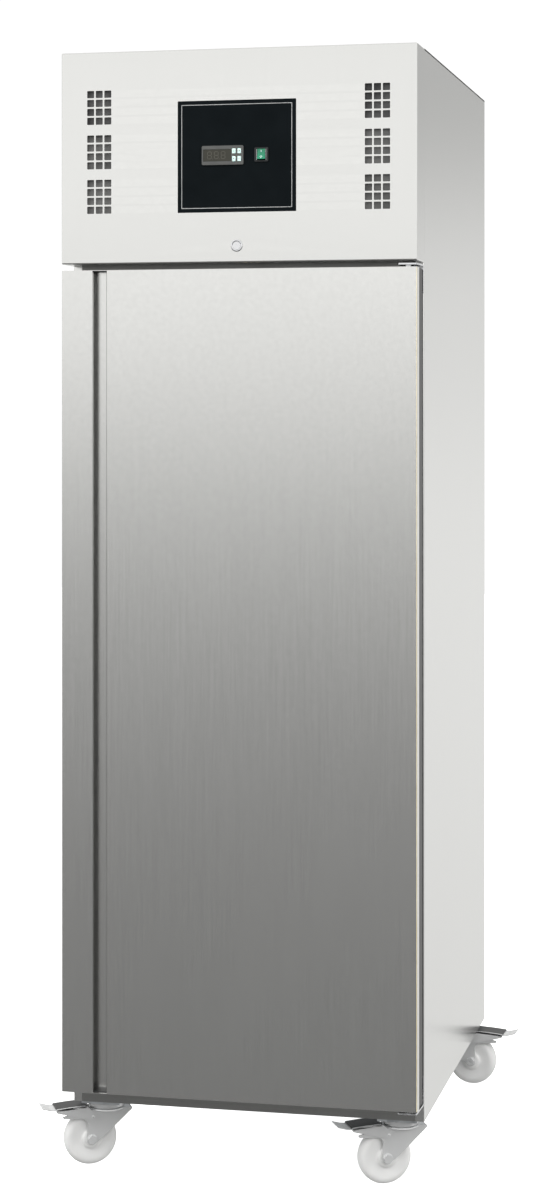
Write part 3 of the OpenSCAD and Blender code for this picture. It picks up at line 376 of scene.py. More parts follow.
def make_mould_group():
    """Moulded or cast surface: fine pimples and a slow change of tone."""
    group, given, out = new_group("moulded_grain", [("Fineness", "NodeSocketFloat", 1500.0)],
                                  [("Pimples", "NodeSocketFloat"), ("Clouds", "NodeSocketFloat")])
    where = add_node(group, "TexCoord").outputs["Object"]
    fine = noise_at(group, where, Detail=2.0)
    link(group, given.outputs["Fineness"], fine.inputs["Scale"])
    link(group, fine.outputs["Fac"], out.inputs["Pimples"])
    link(group, noise_at(group, where, Scale=22.0).outputs["Fac"], out.inputs["Clouds"])
    return group


def make_wear_group():
    """Mask that is bright on exposed edges, broken up by noise."""
    group, given, out = new_group("edge_wear", [("Amount", "NodeSocketFloat", 0.5)], [("Edges", "NodeSocketFloat")])
    spread = add_node(group, "MapRange", From_Min=0.52, From_Max=0.62)
    link(group, add_node(group, "NewGeometry").outputs["Pointiness"], spread.inputs["Value"])
    noise = noise_at(group, add_node(group, "TexCoord").outputs["Object"], Scale=140.0)
    broken = add_node(group, "Math", "MULTIPLY")
    link(group, spread.outputs["Result"], broken.inputs[0])
    link(group, noise.outputs["Fac"], broken.inputs[1])
    scaled = add_node(group, "Math", "MULTIPLY")
    scaled.use_clamp = True
    link(group, broken.outputs[0], scaled.inputs[0])
    link(group, given.outputs["Amount"], scaled.inputs[1])
    link(group, scaled.outputs[0], out.inputs["Edges"])
    return group


def make_spangle_group():
    """Crystal pattern of hot-dip zinc."""
    group, given, out = new_group("zinc_spangle", [("Crystals", "NodeSocketFloat", 90.0)],
                                  [("Tone", "NodeSocketFloat")])
    cells = add_node(group, "TexVoronoi")
    link(group, given.outputs["Crystals"], cells.inputs["Scale"])
    link(group, add_node(group, "TexCoord").outputs["Object"], cells.inputs["Vector"])
    split = add_node(group, "SeparateColor")
    link(group, cells.outputs["Color"], split.inputs[0])
    link(group, split.outputs[0], out.inputs["Tone"])
    return group


DRAWN_GRAIN = make_grain_group()
MOULDED_GRAIN = make_mould_group()
EDGE_WEAR = make_wear_group()
ZINC_SPANGLE = make_spangle_group()


# ------------------------------------------------------------------ materials
def start_material(name, **sockets):
    material = bpy.data.materials.new(name)
    material.use_nodes = True
    shader = material.node_tree.nodes["Principled BSDF"]
    for label, value in sockets.items():
        shader.inputs[label.replace("_", " ")].default_value = value
    return material, material.node_tree, shader


def use_group(tree, group, **values):
    node = tree.nodes.new("ShaderNodeGroup")
    node.node_tree = group
    for label, value in values.items():
        node.inputs[label].default_value = value
    return node


def mix_colours(tree, mask, first, second):
    """Colour mix; first and second are colours or sockets."""
    mix = tree.nodes.new("ShaderNodeMix")
    mix.data_type = "RGBA"
    link(tree, mask, mix.inputs["Factor"])
    for label, value in (("A", first), ("B", second)):
        socket = [s for s in mix.inputs if s.name == label and s.type == "RGBA"][0]
        if isinstance(value, (tuple, list)):
            socket.default_value = (*value, 1.0)
        else:
            link(tree, value, socket)
    return [s for s in mix.outputs if s.type == "RGBA"][0]


def spread_value(tree, source, low, high, start=0.3, end=0.7):
    node = add_node(tree, "MapRange", From_Min=start, From_Max=end, To_Min=low, To_Max=high)
    link(tree, source, node.inputs["Value"])
    return node.outputs["Result"]


def bump_from(tree, shader, height, strength, distance):
    bump = add_node(tree, "Bump", Strength=strength, Distance=distance)
    link(tree, height, bump.inputs["Height"])
    link(tree, bump.outputs["Normal"], shader.inputs["Normal"])


def drawn_steel(name, dark, light, rough, stretch, bump):
    """Brushed sheet: tone and gloss follow the streaks, with faint clouds."""
    material, tree, shader = start_material(name, Metallic=1.0)
    grain = use_group(tree, DRAWN_GRAIN, Stretch=stretch)
    wear = use_group(tree, EDGE_WEAR, Amount=0.5)
    tone = mix_colours(tree, spread_value(tree, grain.outputs["Streaks"], 0, 1), dark, light)
    worn = mix_colours(tree, wear.outputs["Edges"], tone, tuple(min(1.0, c * 1.15) for c in light))
    link(tree, worn, shader.inputs["Base Color"])
    both = add_node(tree, "Math", "MULTIPLY_ADD")
    link(tree, grain.outputs["Clouds"], both.inputs[0])
    both.inputs[1].default_value = 0.35
    link(tree, grain.outputs["Streaks"], both.inputs[2])
    link(tree, spread_value(tree, both.outputs[0], rough[0], rough[1], 0.45, 0.9), shader.inputs["Roughness"])
    bump_from(tree, shader, grain.outputs["Streaks"], bump, 0.0002)
    return material


def moulded(name, dark, light, rough, fineness=1500.0, bump=0.1, wear=None, **sockets):
    """Plastic, rubber or paint with moulded grain."""
    material, tree, shader = start_material(name, **sockets)
    grain = use_group(tree, MOULDED_GRAIN, Fineness=fineness)
    tone = mix_colours(tree, spread_value(tree, grain.outputs["Clouds"], 0, 1), dark, light)
    if wear:
        edges = use_group(tree, EDGE_WEAR, Amount=0.6)
        tone = mix_colours(tree, edges.outputs["Edges"], tone, wear)
    link(tree, tone, shader.inputs["Base Color"])
    link(tree, spread_value(tree, grain.outputs["Pimples"], rough[0], rough[1]), shader.inputs["Roughness"])
    bump_from(tree, shader, grain.outputs["Pimples"], bump, 0.0001)
    return material


def zinc_sheet(name, dark, light, rough, crystals):
    """Zinc coat whose tone and gloss follow its crystals."""
    material, tree, shader = start_material(name, Metallic=1.0)
    spangle = use_group(tree, ZINC_SPANGLE, Crystals=crystals)
    grain = use_group(tree, MOULDED_GRAIN, Fineness=700.0)
    link(tree, mix_colours(tree, spangle.outputs["Tone"], dark, light), shader.inputs["Base Color"])
    link(tree, spread_value(tree, spangle.outputs["Tone"], rough[0], rough[1], 0, 1), shader.inputs["Roughness"])
    bump_from(tree, shader, grain.outputs["Pimples"], 0.05, 0.0002)
    return material


UPRIGHT = (900, 900, 8)
LEVEL = (8, 900, 900)
SATIN = (300, 300, 30)
STEEL = drawn_steel("stainless_upright_grain", (0.735, 0.735, 0.725), (0.765, 0.765, 0.755), (0.205, 0.235), UPRIGHT,
                    0.008)
STEEL_TOP = drawn_steel("stainless_level_grain", (0.68, 0.68, 0.67), (0.76, 0.76, 0.75), (0.26, 0.34), LEVEL, 0.02)
STEEL_INNER = drawn_steel("stainless_inner_satin", (0.70, 0.71, 0.71), (0.78, 0.78, 0.78), (0.30, 0.36), SATIN, 0.02)
# Face frame steel at less than half the brightness of the other steels: painted shade for the dark gaps round the door.
GAP_SHADE_STEEL = drawn_steel("stainless_painted_gap_shade", (0.27, 0.27, 0.266), (0.32, 0.32, 0.315), (0.34, 0.42), LEVEL, 0.02)
GALVANISED = zinc_sheet("galvanised_sheet", (0.42, 0.44, 0.46), (0.62, 0.64, 0.66), (0.35, 0.55), 70.0)
ZINC = zinc_sheet("bright_zinc", (0.74, 0.75, 0.77), (0.88, 0.88, 0.90), (0.18, 0.30), 260.0)
CASTOR_ZINC = moulded("castor_passivated_zinc", (0.74, 0.745, 0.75), (0.79, 0.795, 0.80), (0.20, 0.26), 900.0, 0.01,
                      Metallic=0.35)
# Dark and grey sheets seen through the fascia vents: painted shade for the dark space behind the holes.
VENT_SHADE_DARK = moulded("vent_painted_shade_dark", (0.035, 0.035, 0.036), (0.10, 0.10, 0.10), (0.6, 0.8), 300.0, 0.3)
VENT_SHADE_GREY = moulded("vent_painted_shade_grey", (0.075, 0.075, 0.073), (0.15, 0.15, 0.147), (0.6, 0.8), 300.0, 0.3)
CHROME_WIRE = drawn_steel("chromed_wire", (0.75, 0.76, 0.77), (0.86, 0.87, 0.88), (0.12, 0.20), (400, 400, 400), 0.02)
FINS = drawn_steel("bare_aluminium_fins", (0.60, 0.61, 0.62), (0.78, 0.79, 0.80), (0.35, 0.5), (200, 200, 900), 0.2)
COPPER = drawn_steel("drawn_copper", (0.62, 0.26, 0.14), (0.80, 0.42, 0.28), (0.20, 0.38), (60, 60, 60), 0.05)
PANEL_BLACK = moulded("panel_gloss_black", (0.0045, 0.0062, 0.0072), (0.0058, 0.0078, 0.009), (0.06, 0.10), 900.0,
                      0.01, Specular_IOR_Level=0.015)
# Silver print for the panel border; the same silver also paints the glints beside the rocker switch.
PRINT_AND_GLINT_SILVER = moulded("panel_border_print_and_switch_glints", (0.30, 0.31, 0.31), (0.42, 0.42, 0.42), (0.4, 0.5), 3000.0, 0.02)
BEZEL_GREY = moulded("controller_bezel_grey", (0.060, 0.062, 0.060), (0.085, 0.087, 0.084), (0.32, 0.42), 2600.0, 0.15)
DISPLAY = moulded("display_smoked_window", (0.030, 0.030, 0.024), (0.042, 0.041, 0.033), (0.10, 0.16), 500.0, 0.01,
                  Specular_IOR_Level=0.2)
DISPLAY_MARK = moulded("display_ghost_segments", (0.060, 0.058, 0.046), (0.075, 0.070, 0.055), (0.3, 0.4))
KEY_MINT = moulded("keys_pale_mint", (0.60, 0.80, 0.76), (0.74, 0.90, 0.86), (0.35, 0.45), 2600.0, 0.05,
                   Subsurface_Weight=0.1)
KEY_MARK = moulded("key_mark_grey", (0.03, 0.05, 0.05), (0.05, 0.07, 0.07), (0.5, 0.6))
ROCKER_GREEN = moulded("rocker_emerald_lens", (0.000, 0.130, 0.060), (0.005, 0.230, 0.120), (0.10, 0.18), 400.0, 0.02,
                       Coat_Weight=0.6)
SWITCH_BLACK = moulded("switch_frame_black", (0.008, 0.009, 0.010), (0.014, 0.015, 0.016), (0.3, 0.4), 2400.0, 0.12)
BLACK_PLASTIC = moulded("black_moulding", (0.010, 0.010, 0.011), (0.020, 0.020, 0.021), (0.38, 0.5), 1800.0, 0.2,
                        wear=(0.06, 0.06, 0.06))
GASKET = moulded("gasket_soft_grey", (0.045, 0.045, 0.048), (0.075, 0.075, 0.080), (0.5, 0.62), 900.0, 0.15)
RUBBER = moulded("rubber_black", (0.012, 0.012, 0.012), (0.022, 0.022, 0.022), (0.6, 0.75), 900.0, 0.3)
NYLON = moulded("nylon_white", (0.80, 0.80, 0.795), (0.86, 0.86, 0.855), (0.32, 0.45), 1200.0, 0.08,
                Subsurface_Weight=0.15, Subsurface_Radius=(0.004, 0.004, 0.004))
FOAM = moulded("polyurethane_foam", (0.72, 0.60, 0.34), (0.86, 0.77, 0.52), (0.75, 0.9), 260.0, 0.5)
GREY_PLASTIC = moulded("grey_moulding", (0.50, 0.51, 0.52), (0.60, 0.61, 0.62), (0.42, 0.52), 1500.0, 0.12)
LINER_WHITE = drawn_steel("door_liner_satin", (0.68, 0.69, 0.69), (0.76, 0.76, 0.76), (0.32, 0.38), SATIN, 0.02)
ENAMEL = moulded("compressor_enamel", (0.008, 0.008, 0.009), (0.018, 0.018, 0.020), (0.22, 0.36), 260.0, 0.25,
                 wear=(0.08, 0.08, 0.08), Coat_Weight=0.3)


# ------------------------------------------------------------------ door
DOOR_LOW, DOOR_HIGH = box_mm("door_skin")
FASCIA_LOW, FASCIA_HIGH = box_mm("fascia_panel")
BODY_LOW, BODY_HIGH = box_mm("side_panel_right")
FACE_Y = FASCIA_LOW.y
HALF = FASCIA_HIGH.x
GRIP_STRIP, GRIP_W, GRIP_D, UNDERCUT = 58.5, 25.0, 24.0, 14.0
SKIN_RETURN = 18.0


def door_skin():
    """One folded sheet: left strip, undercut handle recess with a rolled edge, main face and returns."""
    shape = Shape()
    place = upright(DOOR_LOW.x, FACE_Y, DOOR_LOW.z + 0.2)
    t = SHEET / 2
    right = 2 * HALF - t
    strip = GRIP_STRIP - t
    back = GRIP_D + t
    face = GRIP_STRIP + GRIP_W + t
    path = [(t, SKIN_RETURN), (t, t), (strip, t), (strip, 6 + t), (GRIP_STRIP - UNDERCUT + t, 6 + t),
            (GRIP_STRIP - UNDERCUT + t, back), (face, back), (face, t), (right, t), (right, SKIN_RETURN)]
    folded(shape, path, [2.5, 1.6, 1.6, 1.2, 1.6, 1.6, 3.2, 4.6], SHEET,
           DOOR_HIGH.z - DOOR_LOW.z - 0.4, place, steps=7)
    lock_x1 = box_mm("lock_barrel")[1].x - 6
    lock_slot = [(-8 + HALF, 9), (lock_x1 + HALF, 9), (lock_x1 + HALF, 17), (-8 + HALF, 17)]
    for z, holes in ((DOOR_LOW.z, []), (DOOR_HIGH.z - SHEET, [lock_slot])):
        outline = flat_bends([(0.3, SKIN_RETURN), (0.3, 0.3), (2 * HALF - 0.3, 0.3), (2 * HALF - 0.3, SKIN_RETURN)],
                             [2.5, 4.6])
        outline += [(face + t - 0.2, SKIN_RETURN), (face + t - 0.2, back + t - 0.2),
                    (GRIP_STRIP - UNDERCUT + 0.2, back + t - 0.2), (GRIP_STRIP - UNDERCUT + 0.2, SKIN_RETURN)]
        plate(shape, outline, holes, SHEET,
              upright(DOOR_LOW.x, FACE_Y, z))
    make_piece("door_skin_sheet", shape, STEEL, "door", ["door_skin"], smooth=50)
    cap = Shape()
    for z in (DOOR_LOW.z + SHEET + 0.05, DOOR_HIGH.z - SHEET - 1.25):
        outline = rounded_rect(GRIP_STRIP - UNDERCUT + SHEET + 0.1, GRIP_STRIP + GRIP_W - 0.1, 8.0, GRIP_D - 0.3, 1.0)
        plate(cap, outline, [], 1.2,
              upright(DOOR_LOW.x, FACE_Y, z))
    make_piece("recess_end_caps", cap, BLACK_PLASTIC, "door", bevel=0.2)


def frame_sweep(shape, section, half_x, z0, z1):
    """Carries a section of (outward, y) points round a rectangle with mitred corners."""
    loops = []
    for sx, corner_z, sz in ((-1, z0, -1), (1, z0, -1), (1, z1, 1), (-1, z1, 1)):
        loops.append([(sx * (half_x + out), y, corner_z + sz * out) for out, y in section])
    ring_loft(shape, loops)


def door_gasket():
    """Magnetic gasket: a soft nose against the body and a bellows fold behind it."""
    low, high = box_mm("door_gasket")
    width = 16.0
    y0, y1 = low.y, high.y
    section = [(1.5, y1), (0.2, y1 - 1.2), (0.2, y1 - 3.6), (1.6, y1 - 4.8), (4.6, y1 - 5.4), (3.4, y1 - 7.2),
               (3.4, y0 + 1.6), (4.4, y0), (width - 4.4, y0), (width - 3.4, y0 + 1.6), (width - 3.4, y1 - 7.2),
               (width - 4.6, y1 - 5.4), (width - 1.6, y1 - 4.8), (width - 0.2, y1 - 3.6), (width - 0.2, y1 - 1.2),
               (width - 1.5, y1), (width / 2 + 1, y1), (width / 2, y1 - 0.5), (width / 2 - 1, y1)]
    shape = Shape()
    frame_sweep(shape, section, high.x - width, low.z + width, high.z - width)
    make_piece("door_gasket_bellows", shape, GASKET, "door", ["door_gasket"], smooth=60)


def door_liner():
    """Pressed inner panel of the door with a raised rim inside the gasket."""
    low, high = box_mm("door_liner")
    foam_y = low.y
    rim_x = box_mm("inner_liner")[1].x - 12
    rim_z0, rim_z1 = box_mm("inner_liner")[0].z + 12, box_mm("inner_liner")[1].z - 12
    shape = Shape()

    def ring(half, z0, z1, y, radius):
        return [(a, y, b) for a, b in rounded_rect(-half, half, z0, z1, radius, 6)]

    loops = [ring(high.x, low.z, high.z, foam_y, 2), ring(high.x, low.z, high.z, foam_y + 1.6, 2),
             ring(high.x - 0.4, low.z + 0.4, high.z - 0.4, foam_y + 2, 2)]
    for inset, rise in ((0, 2.0), (0.4, 4.0), (1.0, 7.0), (2.4, 8.6), (4.4, 9.0), (16, 9.0), (18.5, 8.4),
                        (20.0, 6.4), (21.5, 3.4), (24, 2.2)):
        loops.append(ring(rim_x - inset, rim_z0 + inset, rim_z1 - inset, foam_y + rise, 10))
    loft(shape, loops, caps=False)
    shape.faces.append(tuple(len(shape.points) - len(loops[0]) + k for k in range(len(loops[0]))))
    shape.faces.append(tuple(range(len(loops[0]))))
    make_piece("door_liner_pressing", shape, LINER_WHITE, "door", ["door_liner"], smooth=40)


def hinge_brackets():
    """Plate brackets with a rounded nose, a folded lip and the hinge pin."""
    high = box_mm("hinge_brackets")[1]
    hinge = joint_mm("door_hinge")
    x1, x0 = high.x, high.x - 38
    back = high.y
    for name, level, up in (("top", DOOR_HIGH.z, 1), ("bottom", DOOR_LOW.z, -1)):
        shape = Shape()
        outline = flat_bends([(x0, back), (x0 + 1.5, FACE_Y + 8), (x1 - 2.0, FACE_Y + 8), (x1, back)], [6, 6], 8)
        base = level + up * 4
        plate(shape, outline, [], up * 3.0,
              upright(0, 0, base))
        block(shape, (x1 - 18, min(level - up * 44, base + up * 1.5), 0),
              (x1, max(level - up * 44, base + up * 1.5), 1.9), 0.6, facing_front(back - 1.9))
        turned(shape, [(0, -15.0), (4.4, -15.0), (5.0, -14.2), (5.0, 6.0), (0, 6.0)],
               place_axes((hinge.x, hinge.y, level), (1, 0, 0), (0, up, 0), (0, 0, up)), 32)
        make_piece("hinge_bracket_" + name, shape, ZINC, "cabinet",
                   ["hinge_brackets"], bevel=0.5, smooth=40)


# ------------------------------------------------------------------ cabinet sheet metal
def square_hole(a, b, width, height, radius=0.6):
    return rounded_rect(a - width / 2, a + width / 2, b - height / 2, b + height / 2, radius, 2)[::-1]


VENT_HOLE, VENT_PITCH, VENT_GROUP_STEP = 13, 16, 80
VENT_SIDE, VENT_TOP = 55, 76


def vent_holes():
    """Six groups of square holes, three on each side."""
    holes = []
    for side in (-1, 1):
        for group in range(3):
            for column in range(3):
                for row in range(4):
                    holes.append(square_hole(side * (HALF - VENT_SIDE - column * VENT_PITCH),
                                             FASCIA_HIGH.z - VENT_TOP - group * VENT_GROUP_STEP - row * VENT_PITCH,
                                             VENT_HOLE, VENT_HOLE, 1.2))
    return holes


CONTROLLER_CUT = (71, 29)
SWITCH_CUT = (22.5, 22.5)
LOCK_CUT_R = 9.6


def control_cuts():
    """Openings for the controller and the switch, through the fascia and the black panel."""
    case_low, case_high = box_mm("controller_case")
    switch_low, switch_high = box_mm("switch_bezel")
    level = (case_low.z + case_high.z) / 2
    return [square_hole((case_low.x + case_high.x) / 2, level, *CONTROLLER_CUT),
            square_hole((switch_low.x + switch_high.x) / 2, level, *SWITCH_CUT)]


def fascia():
    lock = joint_mm("lock_turn")
    holes = vent_holes() + control_cuts()
    holes.append(round_hole(lock.x, lock.z, LOCK_CUT_R, 32))
    shape = Shape()
    pan(shape, FASCIA_LOW.x, FASCIA_HIGH.x, FASCIA_LOW.z, FASCIA_HIGH.z, FASCIA_HIGH.y - FASCIA_LOW.y, SHEET,
        2.4, holes, facing_front(FACE_Y), corner=2.4)
    make_piece("fascia_sheet", shape, STEEL, "cabinet", ["fascia_panel"], smooth=35, flat_over=1100.0)
    # Sheets behind the vent holes, dark for the upper group and grey for the lower two: painted shade seen through the
    # holes.
    for name, top, bottom, material in (("upper", 60, 140, VENT_SHADE_DARK), ("lower", 140, 300, VENT_SHADE_GREY)):
        shape = Shape()
        for side in (-1, 1):
            a0, a1 = sorted((side * (HALF - 40), side * (HALF - 102)))
            plate(shape, rounded_rect(a0, a1, FASCIA_HIGH.z - bottom + 0.5, FASCIA_HIGH.z - top - 0.5, 2), [], 0.8,
                  facing_front(FACE_Y + 5))
        make_piece("vent_painted_shade_sheet_" + name, shape, material, "cabinet", bevel=0.2)


def side_panels():
    """Outer sheets with folded front and back flanges."""
    for name, side in (("left", -1), ("right", 1)):
        low, high = box_mm("side_panel_" + name)
        t = SHEET / 2
        x = HALF - t
        path = [(side * (HALF - 16), BODY_LOW.y + t), (side * x, BODY_LOW.y + t), (side * x, BODY_HIGH.y - t),
                (side * (HALF - 16), BODY_HIGH.y - t)]
        shape = Shape()
        folded(shape, path, [2.2, 2.2], SHEET, high.z - low.z - 1.1,
               upright(0, 0, low.z))
        plate(shape, rounded_rect(BODY_LOW.y + 2.4, BODY_HIGH.y - 2.4, high.z - 3, high.z, 0.01), [], -side * SHEET,
              place_axes((side * HALF, 0, 0), (0, 1, 0), (0, 0, 1), (1, 0, 0)))
        make_piece("side_sheet_" + name, shape, STEEL, "cabinet", ["side_panel_" + name], smooth=40)


def slotted(node, name, slots, axis, material):
    """Flat sheet of a CAD node with long round-ended slots."""
    low, high = box_mm(node)
    shape = Shape()
    if axis == "z":
        place = upright(0, 0, low.z)
        plate(shape, rounded_rect(low.x, high.x, low.y, high.y, 1.0), slots, high.z - low.z, place)
    else:
        place = facing_front(low.y)
        plate(shape, rounded_rect(low.x, high.x, low.z, high.z, 1.0), slots, high.y - low.y, place)
    make_piece(name, shape, material, "cabinet", [node], bevel=0.25)


def top_cover():
    back = BODY_HIGH.y
    slots = [rect_hole(-0.6 * HALF, 0.6 * HALF, back - 60 - k * 18, back - 52 - k * 18, 3.9) for k in range(9)]
    for side in (-1, 1):
        for y in (BODY_LOW.y + 30, back - 30):
            slots.append(round_hole(side * (HALF - SHEET - 12.1), y, 4.1, 24))
    slotted("top_cover", "top_cover_sheet", slots, "z", STEEL_TOP)


def rear_grille():
    low, high = box_mm("rear_grille")
    pitch = (high.z - (low.z - 0.1) - 60) / 12
    gland = Vector((HALF - 70, low.z - 0.1 + 40))
    slots = []
    for row in range(12):
        for column in (-1, 0, 1):
            b = low.z - 0.1 + 30 + row * pitch
            a0, a1 = (column * 0.58 - 0.25) * HALF, (column * 0.58 + 0.25) * HALF
            if a0 < gland.x + 14 and a1 > gland.x - 14 and b < gland.y + 14 and b + 8 > gland.y - 14:
                continue
            slots.append(rect_hole(a0, a1, b, b + 8, 3.9))
    slots.append(round_hole(gland.x, gland.y, 11, 32))
    for side in (-1, 1):
        for z in (low.z - 0.1 + 14, BODY_HIGH.z - 20):
            slots.append(round_hole(side * (high.x - 8), z, 4.1, 24))
    slotted("rear_grille", "rear_grille_sheet", slots, "y", GALVANISED)


# ------------------------------------------------------------------ controls
def control_plate():
    low, high = box_mm("control_plate")
    shape = Shape()
    plate(shape, rounded_rect(low.x, high.x, low.z, high.z, 1.2), control_cuts(), high.y - low.y, facing_front(low.y))
    make_piece("control_panel", shape, PANEL_BLACK, "cabinet", ["control_plate"], bevel=0.2)
    border = Shape()
    inset, line = 7.0, 1.1
    plate(border, rounded_rect(low.x + inset, high.x - inset, low.z + inset, high.z - inset, 1.0),
          [rect_hole(low.x + inset + line, high.x - inset - line, low.z + inset + line, high.z - inset - line,
                        0.5)], 0.08, facing_front(low.y - 0.07))
    make_piece("control_panel_border", border, PRINT_AND_GLINT_SILVER, "cabinet")


SEGMENTS = {"a": ((0, 2), (1, 2)), "b": ((1, 2), (1, 1)), "c": ((1, 1), (1, 0)), "d": ((0, 0), (1, 0)),
            "e": ((0, 1), (0, 0)), "f": ((0, 2), (0, 1)), "g": ((0, 1), (1, 1))}


def digit(shape, a, b, width, height, place):
    """Seven bar segments with pointed ends."""
    thick = 0.5
    for start, end in SEGMENTS.values():
        p = Vector((a + start[0] * width, b + start[1] * height / 2))
        q = Vector((a + end[0] * width, b + end[1] * height / 2))
        along = (q - p).normalized()
        side = Vector((-along.y, along.x)) * thick
        p, q = p + along * 0.4, q - along * 0.4
        outline = [p, p + along * thick + side, q - along * thick + side, q, q - along * thick - side,
                   p + along * thick - side]
        plate(shape, [tuple(v) for v in outline], [], 0.06, place)


def controller():
    low, high = box_mm("controller_case")
    display_low, display_high = box_mm("controller_display")
    shape = Shape()
    holes = [rect_hole(display_low.x - 0.1, display_high.x + 0.1, display_low.z - 0.1, display_high.z + 0.1,
                          0.8)]
    for k in range(1, 5):
        key_low, key_high = box_mm("controller_button_%d" % k)
        holes.append(rect_hole(key_low.x - 0.2, key_high.x + 0.2, key_low.z - 0.2, key_high.z + 0.2, 0.8))
    plate(shape, rounded_rect(low.x, high.x, low.z, high.z, 2.5), holes, 3.0, facing_front(low.y))
    block(shape, (low.x + 2.8, low.z + 2.8, 5.2), (high.x - 2.8, high.z - 2.8, high.y - low.y), 1.0,
          facing_front(low.y))
    make_piece("controller_bezel", shape, BEZEL_GREY, "cabinet", ["controller_case"], bevel=0.9)
    window = Shape()
    block(window, (display_low.x, display_low.z, 0), (display_high.x, display_high.z, display_high.y - display_low.y),
          0.4, facing_front(display_low.y))
    make_piece("controller_window", window, DISPLAY, "cabinet", ["controller_display"])
    marks = Shape()
    place = facing_front(display_low.y - 0.05)
    for k in range(3):
        digit(marks, display_low.x + 8 + k * 12.5, display_low.z + 4.5, 7.0, 12.5, place)
    for k in range(2):
        plate(marks, circle_points(display_low.x + 17.3 + k * 12.5, display_low.z + 4.2, 0.6, 12), [], 0.06, place)
    make_piece("controller_segments", marks, DISPLAY_MARK, "cabinet")
    for k in range(1, 5):
        key_low, key_high = box_mm("controller_button_%d" % k)
        key = Shape()
        block(key, (key_low.x, key_low.z, 0), (key_high.x, key_high.z, key_high.y - key_low.y), 0.7,
              facing_front(key_low.y), 3)
        make_piece("key_%d" % k, key, KEY_MINT, "button_%d" % k, ["controller_button_%d" % k])
        mark = Shape()
        a, b = (key_low.x + key_high.x) / 2, (key_low.z + key_high.z) / 2
        turn = {1: 1, 3: -1}.get(k)
        if turn:
            outline = [(a - 1.2, b - turn * 0.9), (a + 1.2, b - turn * 0.9), (a, b + turn * 1.1)]
        else:
            outline = circle_points(a, b, 1.0 if k == 2 else 0.7, 16)
        plate(mark, outline, [], 0.05, facing_front(key_low.y - 0.04))
        make_piece("key_mark_%d" % k, mark, KEY_MARK, "button_%d" % k)


def rocker_switch():
    low, high = box_mm("switch_bezel")
    rock_low, rock_high = box_mm("switch_rocker")
    a, b = (low.x + high.x) / 2, (low.z + high.z) / 2
    width = rock_high.x - rock_low.x
    shape = Shape()
    opening = rect_hole(a - width / 2 - 0.3, a + width / 2 + 0.3, b - 10.7, b + 10.7, 0.8)
    plate(shape, rounded_rect(low.x, high.x, low.z, high.z, 1.8), [opening], 2.0, facing_front(low.y))
    plate(shape, rounded_rect(low.x + 1.4, high.x - 1.4, low.z + 1.4, high.z - 1.4, 1.0), [opening], 18.0,
          facing_front(low.y + 1.9))
    make_piece("switch_frame", shape, SWITCH_BLACK, "cabinet", ["switch_bezel"], bevel=0.5)
    # Thin silver strips on each side of the rocker: painted side glints, not trim.
    side_glints = Shape()
    for side in (-1, 1):
        centre = a + side * (width / 2 + 1.3)
        block(side_glints, (centre - 0.45, b - 9.5, 0), (centre + 0.45, b + 9.5, 0.5), 0.2, facing_front(low.y - 0.15))
    make_piece("switch_side_glints", side_glints, PRINT_AND_GLINT_SILVER, "cabinet")
    pivot = joint_mm("rocker_tilt")
    rocker = Shape()
    rest = math.radians(-8)
    outline = []
    front = pivot.y - low.y + 1.2
    for step in range(13):
        share = -1 + step / 6
        outline.append((-front - 0.9 * abs(share) + 0.35, share * 9.3))
    outline += [(5.5, 8.6), (5.5, -8.6)]
    turned_outline = [(u * math.cos(rest) - v * math.sin(rest), u * math.sin(rest) + v * math.cos(rest))
                      for u, v in outline]
    plate(rocker, turned_outline, [], width - 0.2,
          place_axes((rock_low.x + 0.1, pivot.y, pivot.z), (0, 1, 0), (0, 0, 1), (1, 0, 0)))
    make_piece("rocker_lens", rocker, ROCKER_GREEN, "rocker", ["switch_rocker"], bevel=0.5)
    mark = Shape()
    tilt = Matrix.Translation((a, pivot.y, pivot.z)) @ Matrix.Rotation(rest, 4, "X")
    plate(mark, rounded_rect(-0.5, 0.5, 3.4, 6.8, 0.3), [], 0.1, tilt @ facing_front(-front - 0.42))
    plate(mark, circle_points(0, -5.2, 2.0, 20), [round_hole(0, -5.2, 1.3, 20)], 0.1,
          tilt @ facing_front(-front - 0.62))
    make_piece("rocker_marks", mark, KEY_MINT, "rocker")


def lock():
    low, high = box_mm("lock_body")
    barrel_low, barrel_high = box_mm("lock_barrel")
    axis = joint_mm("lock_turn")
    place = place_axes((axis.x, 0, axis.z), (1, 0, 0), (0, 0, 1), (0, 1, 0))
    shape = Shape()
    turned(shape, [(7.1, low.y + 0.9), (8.0, low.y + 0.1), (9.4, low.y), (10.5, low.y + 0.4), (11.0, FACE_Y - 0.2),
                   (9.5, FACE_Y - 0.1), (9.5, high.y), (7.1, high.y), (7.1, low.y + 0.9)], place, 48)
    make_piece("lock_rim", shape, ZINC, "cabinet", ["lock_body"])
    barrel = Shape()
    slot = rounded_rect(-0.9, 0.9, -4, 4, 0.6)
    plate(barrel, circle_points(0, 0, 6.9, 40), [slot[::-1]], 3.0, shifted(place, 0, 0, barrel_low.y))
    turned(barrel, [(0, barrel_low.y + 3.2), (6.9, barrel_low.y + 3.2), (6.9, barrel_high.y - 2.6),
                    (0, barrel_high.y - 2.6)], place, 40)
    cam = flat_bends([(-6, 6), (-6, -6), (6, -6), (barrel_high.x, -3), (barrel_high.x, 3), (6, 6), (-6, 6)],
                      [5.5, 4, 8, 1.2, 1.2, 4], 5)
    plate(barrel, cam[:-1], [], 2.5, shifted(place, 0, 0, barrel_high.y - 2.5))
    make_piece("lock_core", barrel, ZINC, "lock_barrel", ["lock_barrel"], bevel=0.25)


# ------------------------------------------------------------------ castors
CROWN_RISE = 3
RIVET_DROP = 9
RIVET_BACK = 2


